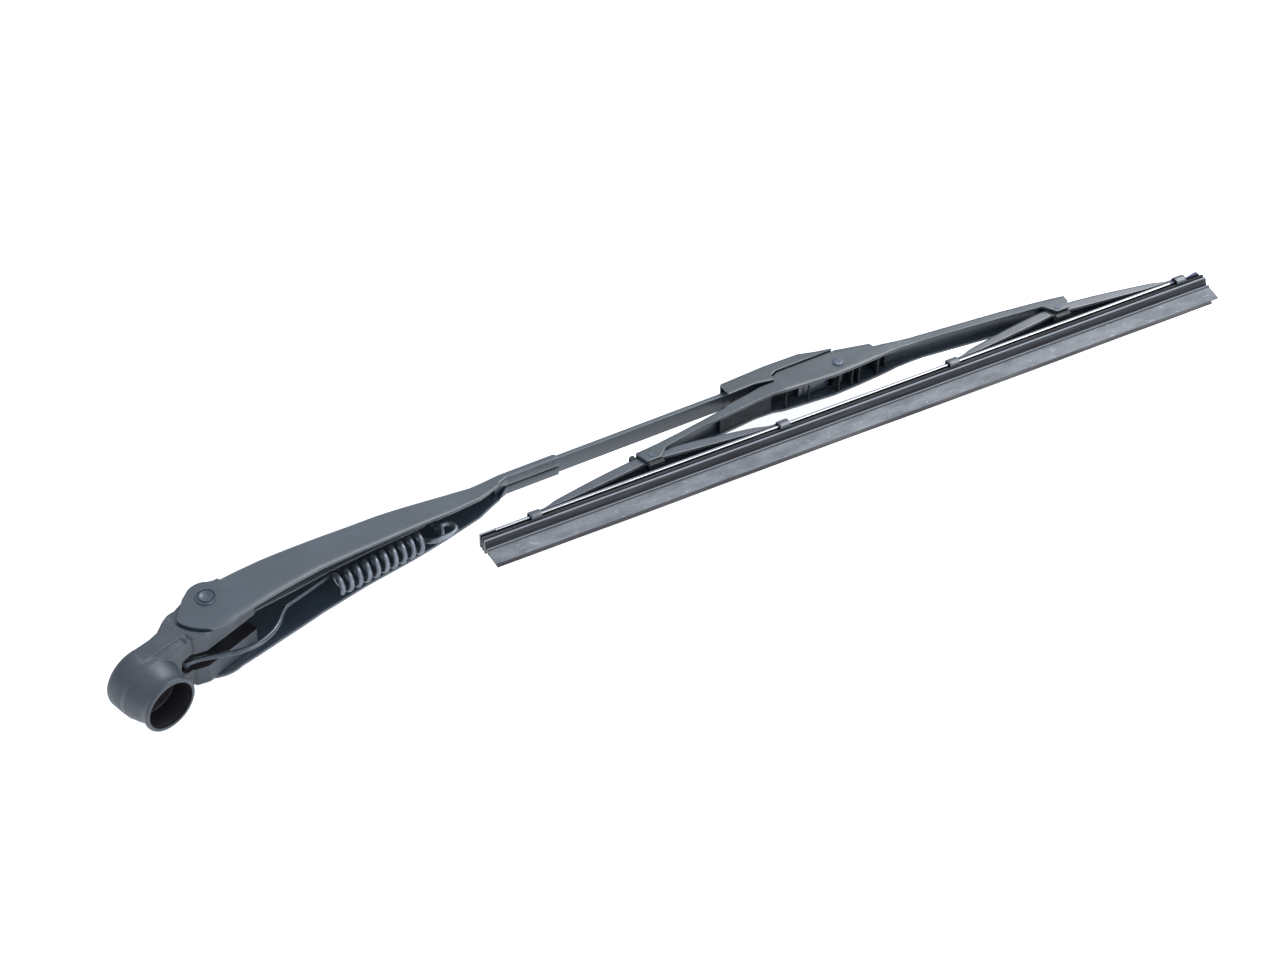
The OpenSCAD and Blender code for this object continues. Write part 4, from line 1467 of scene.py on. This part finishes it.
@dataclass
class Bridge:
    """Moulded bridge with its ribs and pins."""

    # distance from the blade pivot to each yoke pivot, and what is beyond it
    near: float = 104.0
    far: float = 110.8
    near_over: float = 5.6
    far_over: float = 6.8
    wide_y: float = 6.7
    arm_y: float = 5.8
    end_y: float = 5.95
    wall: float = 1.35
    fold_r: float = 1.3
    pivot_w: float = -13.4
    # place, lower and upper edge of each rib
    ribs: tuple = ((-29.6, -5.2, -2.6), (-18, -5.8, -4.4), (-2.5, -6.6, -3.8),
                   (4.7, -6.2, -1), (8.6, -5.9, 4), (19, -5, 2.6), (24.5, -2.4, 0.6))
    # the same for the web in the near arm, with its length and its slope
    web: tuple = (-51.0, -5.37, -4.77, 28.0, 0.085)

    def build(self) -> None:
        """Builds and attaches the bridge and its pins."""
        n, f = self.near, self.far
        first, last = -n - self.near_over, f + self.far_over
        top = Line(((first, -9), (-n + 6, -7.8), (-n + 18, -5.9), (-74, -3.9),
                    (-39.5, 2.3), (-33, 2.3), (-31.4, 5.2), (-28.4, 6.9), (1.8, 7.7),
                    (2.5, 8.6), (19.1, 5.1), (20.2, 2.7), (31.5, 1.4), (44, 0.4),
                    (f - 24, -3.2), (f, -6.2), (last, -7.3)))
        low = Line(((first, -11.2), (-n - 3.6, -16.8), (-n + 3, -16.6),
                    (-n + 8, -12), (-n + 28, -8.1), (-57, -6.1), (-45, -4.7),
                    (-36, -4.4), (-30.5, -5.3), (-16, -6.1), (-5, -6.8), (9, -6),
                    (18.4, -5.2), (30, -4.1), (44, -4.2), (f - 18, -8.6),
                    (f - 6, -9.8), (f - 1.6, -15.8), (f + 5, -15.8),
                    (last, -11.4)))
        half = Line(((first, self.end_y), (-n + 9, self.end_y),
                     (-n + 20, self.arm_y), (-46, self.arm_y), (-31, self.wide_y),
                     (24, self.wide_y), (38, self.arm_y), (f - 20, self.arm_y),
                     (f - 9, self.end_y), (last, self.end_y)))
        # between -59.9 and 2.1 it is open above, for the arm's hook
        along = stations(first, last, 3.0, top.breaks() + low.breaks()
                         + half.breaks() + [-60, -59.4, 1.6, 2.2])
        shell = FoldedSheet("bridge_shell", along, top, low, half, self.fold_r,
                            self.wall, lambda x: x < -59.9 or x > 2.1, BLADE,
                            edge_mm=0.3).build()
        ribs = [self.rib(u, lo, hi, half.at(np.array([u]))[0] - 0.4)
                for u, lo, hi in self.ribs]
        finish_piece(shell, Finishes.BRIDGE, Body.BLADE, ["bridge"])
        # the web, a sheet with painted shade that closes the near arm's inside, fits
        # between the walls and stays clear of the adapter's tongue
        u, lo, hi, length, rise = self.web
        web = self.rib(u, lo, hi, self.arm_y - self.wall - 0.02, length, rise)
        # ribs and web take the polyamide with painted shade
        inner = join("bridge_ribs", [web] + ribs)
        finish_piece(inner, Finishes.BRIDGE_INSIDE, Body.BLADE,
                     ["bridge"])
        self.pivot_pins()

    def rib(self, u: float, lo: float, hi: float, y: float,
            length: float = 0.8, rise: float = 0.0) -> Piece:
        """Cross rib with a dished lower edge.

        Args:
            u: position along the blade.
            lo: its lower edge.
            hi: its upper edge.
            y: half of its width.
            length: its size along the blade.
            rise: how much it climbs for each mm along the blade.

        Returns:
            Mesh object.
        """
        edge = [(-y, lo), (-y * 0.5, lo + 0.25), (0, lo + 0.35), (y * 0.5, lo + 0.25),
                (y, lo), (y, hi), (-y, hi)]
        count = len(edge)
        points = [(u + d, a, b + d * rise) for d in (-length / 2, length / 2)
                  for a, b in edge]
        faces = [list(range(count)), list(range(2 * count - 1, count - 1, -1))]
        faces += [[i, (i + 1) % count, count + (i + 1) % count, count + i]
                  for i in range(count)]
        made = new_piece("rib", points, faces, BLADE)
        clean(made)
        bevel(made, 0.15, 1, 50)
        apply_modifiers(made)
        return made

    def pivot_pins(self) -> None:
        """Builds the blade pivot pin and both yoke pins."""
        pin = lathe("blade_pivot_pin", [
            (0, -7.4), (1.6, -7.45), (2.3, -7.4), (2.6, -7.2), (2.7, -6.7),
            (1.9, -6.7), (1.9, 6.7), (2.7, 6.7), (2.6, 7.2), (2.3, 7.4),
            (1.6, 7.45), (0, 7.4)],
            (0, 0, 0), (0, 1, 0), BLADE)
        apply_modifiers(pin)
        finish_piece(pin, Finishes.PIN, Body.BLADE, ["blade_pin"])
        y = self.end_y
        for name, u in (("near_yoke_pin", -self.near), ("far_yoke_pin", self.far)):
            made = lathe(name + "_turned", [
                (0, -y - 0.3), (1.4, -y - 0.28), (1.6, -y - 0.1), (1.6, -y),
                (1.2, -y), (1.2, y), (1.6, y), (1.6, y + 0.1), (1.4, y + 0.28),
                (0, y + 0.3)], (u, 0, self.pivot_w), (0, 1, 0), BLADE, 32)
            apply_modifiers(made)
            finish_piece(made, Finishes.PIN, Body.BLADE, [name])


@dataclass
class Yoke:
    """Pressed yoke with its two claws and its saddle clip."""

    name: str
    body: Body
    centre: float
    half: float = 62.6
    width: float = 8.4
    wall: float = 1.2
    rail_top: float = -22.2
    fold_r: float = 1.1
    claw_len: float = 5.4
    claw_sheet: float = 0.6
    voxel_mm: float = 0.2
    passes: int = 2

    def build(self) -> None:
        """Builds and attaches the yoke, its claws and its clip."""
        # the lines are drawn for claws 57 mm from the middle
        k = (self.half - 5) / 57
        top, low = [[(self.centre + sign * u * k, w)
                     for sign, points in ((-1, side[:0:-1]), (1, side))
                     for u, w in points]
                    for side in (
            ((0, -10.7), (8, -10.9), (18, -12), (30, -13.8), (42, -15.9),
             (50, -17.4), (57, -19.75), (61.2, -19.85)),
            ((0, -15.7), (5, -15.8), (20, -17.6), (36, -19.4), (46, -20.4),
             (57, -20.7), (61.2, -20.9)))]
        top, low = Line(tuple(top), True), Line(tuple(low))
        half = Line(((self.centre - 70, self.width / 2),
                     (self.centre + 70, self.width / 2)))
        reach = 61.2 * k
        along = stations(self.centre - reach, self.centre + reach, 2.5,
                         top.breaks() + low.breaks())
        arch = FoldedSheet("arch", along, top, low, half, self.fold_r, self.wall,
                           lambda x: True, BLADE, edge_mm=0.2).build()
        whole = join(self.name + "_arch", [arch, self.claws()])
        finish_piece(whole, Finishes.YOKE_PAINT, self.body,
                     [self.name])
        clip = cast_copy(self.name + "_clip_saddle", self.name + "_clip",
                         self.voxel_mm, self.passes)
        finish_piece(clip, Finishes.CLIP, Body.BLADE, [self.name + "_clip"])

    def claws(self) -> Piece:
        """Both claws, one strap shape set on two points.

        Returns:
            Mesh object.
        """
        r = self.rail_top
        outline = [(4.35, r - 2.0), (5.15, r - 2.0), (5.5, r - 1.8), (5.65, r - 1.35),
                   (5.65, r + 0.4), (5.45, r + 1.0), (5.0, r + 1.55), (4.3, r + 1.9)]
        strap = outline + [(-y, w) for y, w in reversed(outline)]
        n, steps = len(strap), 4
        points = [(s, y, w)
                  for s in np.linspace(-self.claw_len / 2, self.claw_len / 2, steps + 1)
                  for y, w in strap]
        faces = [[a, a + n, a + n + 1, a + 1] for i in range(steps)
                 for a in range(i * n, i * n + n - 1)]
        local = SlopeFrame(0, 0, BLADE.slope)
        stud = new_piece("claw_stud", points, faces, local)
        clean(stud, outward=False)
        thicken(stud, self.claw_sheet)
        bevel(stud, 0.2, 2, 50)
        apply_modifiers(stud)
        spots = BLADE.place(np.array([(self.centre + s * self.half, 0, 0)
                                      for s in (-1, 1)])) * MM
        return set_studs("claws", stud, spots, [0.0] * 6, Finishes.YOKE_PAINT)


@dataclass
class Squeegee:
    """Rubber with its two flexor rails, in a near and a far half."""

    near: float = 193.0
    far: float = 186.0
    split: float = 3.4
    rail_top: float = -22.2
    rail_out: float = 5.0
    rail_w: float = 3.0
    rail_t: float = 1.1
    back: float = 4.0
    bend_u: float = 2.1
    nose_len: float = 4.5
    nose_lift: float = 1.1
    # the lip starts this far under the rails; near the far end it is cut short,
    # and past the back's cut the section ends under the rails
    lip_start: float = 8.0
    lip_h: float = 9.0
    lip_nick: float = 1.8
    relief: float = 4.5
    back_cut: float = 9.0
    # heights and lengths of the lip's small waves
    waves: tuple = ((0.12, 31.0), (0.06, 11.0))
    # length over which a cut drops, and radius of a rail's edges
    drop_len: float = 0.06
    edge_r: float = 0.35
    # the rails start this far in from the near end
    rail_in: float = 7.0
    # where each half leaves the bridge and where it follows its yoke, and the
    # height of both places
    near_bend: tuple = (0.0, -38.0)
    far_bend: tuple = (7.0, 45.0)
    bend_w: float = -22.0

    def profile(self) -> list[tuple[float, float]]:
        """Half of the rubber's section, from its back to the edge of its lip."""
        b, r = self.back, self.rail_top
        slot = self.rail_out - self.rail_w - 0.05
        return [(0, r + 1.3), (b - 0.8, r + 1.3), (b - 0.15, r + 1.28),
                (b, r + 1.1), (b, r + 0.5), (b, r + 0.1), (slot, r + 0.05),
                (slot, r - self.rail_t - 0.05), (b, r - self.rail_t - 0.05),
                (b + 0.05, r - 1.7), (b - 0.25, r - 2.15), (b - 1.2, r - 2.5),
                (b - 1.4, r - 2.75), (b - 1.0, r - 3.0), (b - 0.1, r - 3.3),
                (b + 0.15, r - 3.6), (b + 0.1, r - 4.05), (b - 0.6, r - 4.35),
                (1.5, r - 5.1), (0.85, r - 5.4), (0.8, r - 6.3), (1.1, r - 6.6),
                (1.75, r - 6.85), (1.9, r - 7.15), (1.7, r - 7.5), (1.2, r - 8),
                (0.95, r - 11), (0.45, r - 16.6), (0.3, r - 17)]

    def half_rubber(self, name: str, first: float, last: float) -> Piece:
        """One half of the rubber.

        Args:
            name: object name.
            first: start along the blade.
            last: end along the blade.

        Returns:
            Mesh object.
        """
        half = self.profile()
        ring = half + [(-y, w) for y, w in reversed(half) if y > 0]
        lip = self.rail_top - self.lip_start
        edge, back = self.far - self.relief, self.far - self.back_cut
        along = stations(first, last, 4.0, [edge - self.drop_len, edge,
                                            back - self.drop_len, back])
        points = []
        for u in along:
            cut = u > edge - self.drop_len / 2
            low = lip - self.lip_h + self.lip_nick if cut else -math.inf
            bare = u > back - self.drop_len / 2
            high = self.rail_top - self.rail_t - 0.1 if bare else math.inf
            wave = sum(size * math.sin(u / length) for size, length in self.waves)
            for y, w in ring:
                share = max(0.0, min(1.0, (lip - w) / self.lip_h))
                points.append((u, y + wave * share, min(max(w, low), high)))
        made = new_piece(name, points, ring_faces(len(along), len(ring), True), BLADE)
        mark(made, points)
        clean(made, 0.003)
        shade(made.data, 38)
        return made

    def half_rail(self, name: str, side: int, first: float, last: float) -> Piece:
        """One half of one rail, a strip with rounded edges.

        Args:
            name: object name.
            side: -1 for the rail at low Y, 1 for the other.
            first: start along the blade.
            last: end along the blade.

        Returns:
            Mesh object.
        """
        c = self.edge_r
        out, inn = self.rail_out - c, self.rail_out - self.rail_w + c
        top, low = self.rail_top - c, self.rail_top - self.rail_t + c
        ring = [point for y, w, start in ((out, top, 0), (inn, top, 90),
                                          (inn, low, 180), (out, low, 270))
                for point in arc(y, w, c, start, 90, 4)]
        along = stations(first, last, 4.0)
        points = [(u, side * y, w) for u in along for y, w in ring]
        made = new_piece(name, points, ring_faces(len(along), len(ring)), BLADE)
        mark(made, points)
        clean(made)
        shade(made.data, 50)
        return made

    def rail_bend(self, start: float) -> Piece:
        """Round bend that joins the rails past the rubber's back.

        Args:
            start: position where the straight rails end.

        Returns:
            Mesh object.
        """
        mid, half = self.rail_out - self.rail_w / 2, self.rail_w / 2
        low, c = self.rail_top - self.rail_t, self.edge_r
        # each point: place, direction across the strip, and how far the nose rises
        path = [(start - run, -mid, 0.0, -1.0, 1 - run / self.nose_len)
                for run in np.linspace(self.nose_len, 0.3, 6)]
        path += [(start + self.bend_u * math.cos(a), mid * math.sin(a), math.cos(a),
                  math.sin(a), 1.0) for a in np.radians(np.linspace(-90, 90, 25))]
        path += [(u, -y, 0.0, 1.0, share) for u, y, _, _, share in path[5::-1]]
        points = []
        for u, y, du, dy, share in path:
            top = self.rail_top + 0.02 + self.nose_lift * share
            for d, w in ((-half + c, top), (half - c, top), (half, top - c),
                         (half, low + c), (half - c, low), (-half + c, low),
                         (-half, low + c), (-half, top - c)):
                points.append((u + d * du, y + d * dy, w))
        made = new_piece("rail_bend", points, ring_faces(len(path), 8), BLADE)
        mark(made, points)
        clean(made)
        return made

    def bend(self, piece: Piece, body: Body, places: Sequence[float]) -> None:
        """Bakes a half's placement into its mesh; the half is not bent.

        Args:
            piece: mesh object.
            body: the yoke of that half; not used.
            places: where it leaves the bridge and where it follows the yoke.
        """
        ends = BLADE.place(np.array([(u, 0, self.bend_w) for u in places])) * MM
        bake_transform(piece)

    def build(self) -> None:
        """Builds both halves of the rubber and the rails."""
        for tag, body, first, last, places in (
                ("near", Body.NEAR_YOKE, -self.near, self.split, self.near_bend),
                ("far", Body.FAR_YOKE, self.split, self.far, self.far_bend)):
            rubber = self.half_rubber("rubber_" + tag, first, last)
            finish_piece(rubber, Finishes.RUBBER, None, ["wiper_rubber"])
            self.bend(rubber, body, places)
            start = max(first, -self.near + self.rail_in)
            end = min(last, self.far - self.bend_u - self.rail_w / 2)
            for side, node in ((-1, "near_rail"), (1, "far_rail")):
                rail = self.half_rail(f"{node}_{tag}", side, start, end)
                if tag == "far" and side == 1:
                    rail = join(rail.name, [rail, self.rail_bend(end)])
                finish_piece(rail, Finishes.RAIL, None, [node])
                self.bend(rail, body, places)


@dataclass
class Studio:
    """Camera, pale floor and soft lamps."""

    lens: float = 95.625
    camera_place: tuple = (-0.53944, -1.0769, -0.77666)
    # directions of the picture's right, of its lower edge and of the view
    camera_axes: tuple = ((0.69802, -0.01462, -0.71593), (0.5023, -0.70256, 0.50408),
                          (-0.51036, -0.71147, -0.48305))
    floor_y: float = 16.95
    floor_reach: float = 3.0
    world_light: float = 0.85
    middle: tuple = (0.25, 0.0, -0.06)
    # name, place in metres, side in metres and watts of each lamp
    lamps: tuple = (("Overhead softbox", (1.15, -1.2, 0.0), 1.0, 16.5),
                    ("Side softbox", (0.3, -0.6, -1.5), 0.8, 7),
                    ("Rear softbox", (0.4, 1.5, 0.5), 1.2, 8))

    def camera(self) -> None:
        """Sets the camera of the photograph."""
        data = bpy.data.cameras.new("camera")
        data.lens, data.sensor_width, data.sensor_fit = self.lens, 36.0, "HORIZONTAL"
        data.clip_start, data.clip_end = 0.05, 20.0
        made = add_object("camera", data)
        # the nearest true rotation to the measured axes
        u, _, v = np.linalg.svd(np.array(self.camera_axes))
        made.matrix_world = Matrix.Translation(self.camera_place) \
            @ Matrix((u @ v).T.tolist()).to_4x4()
        bpy.context.scene.camera = made

    def floor(self) -> None:
        """Table that the part lies on, on its +Y side."""
        mesh = bpy.data.meshes.new("table")
        far = self.floor_reach
        mesh.from_pydata([(x, self.floor_y * MM, z) for x, z in (
            (-far, -far), (-far, far), (far, far), (far, -far))], [], [(0, 1, 2, 3)])
        made = add_object("table", mesh)
        material = bpy.data.materials.new("White table")
        tree = empty_tree(material)
        side = add_node(tree, "ShaderNodeNewGeometry")
        path = add_node(tree, "ShaderNodeLightPath")
        paper = add_node(tree, "ShaderNodeBsdfDiffuse", {"Color": linear("#e6e6e6")})
        # seen white, mirrored less because the part shades the table round it
        level = add_node(tree, "ShaderNodeMapRange", {"To Min": 0.4, "To Max": 0.76},
                         {"Value": path.outputs["Is Camera Ray"]})
        glow = add_node(tree, "ShaderNodeEmission", {"Color": (0.96, 0.98, 1.01, 1)},
                        {"Strength": level.outputs["Result"]})
        seen = add_node(tree, "ShaderNodeMath", {"operation": "MAXIMUM"},
                        {0: path.outputs["Is Camera Ray"],
                         1: path.outputs["Is Glossy Ray"]})
        none = add_node(tree, "ShaderNodeEmission", {"Strength": 0.0})
        shine = add_node(tree, "ShaderNodeMixShader", None,
                         {0: seen.outputs[0], 1: none.outputs[0], 2: glow.outputs[0]})
        lit = add_node(tree, "ShaderNodeAddShader", None,
                       {0: paper.outputs[0], 1: shine.outputs[0]})
        # from behind it is clear, and it throws no shadow itself
        clear = add_node(tree, "ShaderNodeBsdfTransparent")
        gone = add_node(tree, "ShaderNodeMath", {"operation": "MAXIMUM"},
                        {0: side.outputs["Backfacing"],
                         1: path.outputs["Is Shadow Ray"]})
        mixed = add_node(tree, "ShaderNodeMixShader", None,
                         {0: gone.outputs[0], 1: lit.outputs[0], 2: clear.outputs[0]})
        add_node(tree, "ShaderNodeOutputMaterial", None, {0: mixed.outputs[0]})
        mesh.materials.append(material)
        if mesh.polygons[0].normal.y > 0:
            mesh.flip_normals()

    def world(self) -> None:
        """White surround that is seen white and lights softly."""
        world = bpy.data.worlds.new("Studio")
        bpy.context.scene.world = world
        tree = empty_tree(world)
        path = add_node(tree, "ShaderNodeLightPath")
        seen = add_node(tree, "ShaderNodeMath", {"operation": "MAXIMUM"},
                        {0: path.outputs["Is Camera Ray"],
                         1: path.outputs["Is Transmission Ray"]})
        level = add_node(tree, "ShaderNodeMapRange", {
            "To Min": self.world_light, "To Max": 1.12}, {"Value": seen.outputs[0]})
        # daylight: slightly blue light, yet seen as plain white
        sky = add_node(tree, "ShaderNodeBackground", {"Color": (0.9, 0.975, 1.06, 1)},
                       {"Strength": level.outputs["Result"]})
        add_node(tree, "ShaderNodeOutputWorld", None, {0: sky.outputs[0]})

    def lamp(self, name: str, place: Point, size: float, power: float) -> None:
        """Adds one square soft lamp that faces the part's middle.

        Args:
            name: lamp name.
            place: position in metres.
            size: side in metres.
            power: watts.
        """
        data = bpy.data.lights.new(name, "AREA")
        data.shape, data.size, data.energy = "SQUARE", size, power
        aim = Vector(place) - Vector(self.middle)
        add_object(name, data).matrix_world = Matrix.Translation(place) \
            @ aim.to_track_quat("Z", "Y").to_matrix().to_4x4()

    def build(self) -> None:
        """Builds the table, the surround and the lamps."""
        bpy.context.scene.view_settings.view_transform = "Standard"
        self.floor()
        self.world()
        for lamp in self.lamps:
            self.lamp(*lamp)


def main() -> None:
    """Builds every sub-assembly in order and reports it."""
    logging.basicConfig(level=logging.INFO, format="%(name)s: %(message)s")
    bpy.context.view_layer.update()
    studio = Studio()
    studio.camera()
    for part in (HeadCasting(), ArmChannel(), SpringAndLink(), BarAndAdapter(),
                 HookCover(), Bridge(), Yoke("near_yoke", Body.NEAR_YOKE, -104.0),
                 Yoke("far_yoke", Body.FAR_YOKE, 110.8), Squeegee()):
        log.info("%s", type(part).__name__)
        part.build()
    studio.build()


if __name__ == "__main__":
    main()
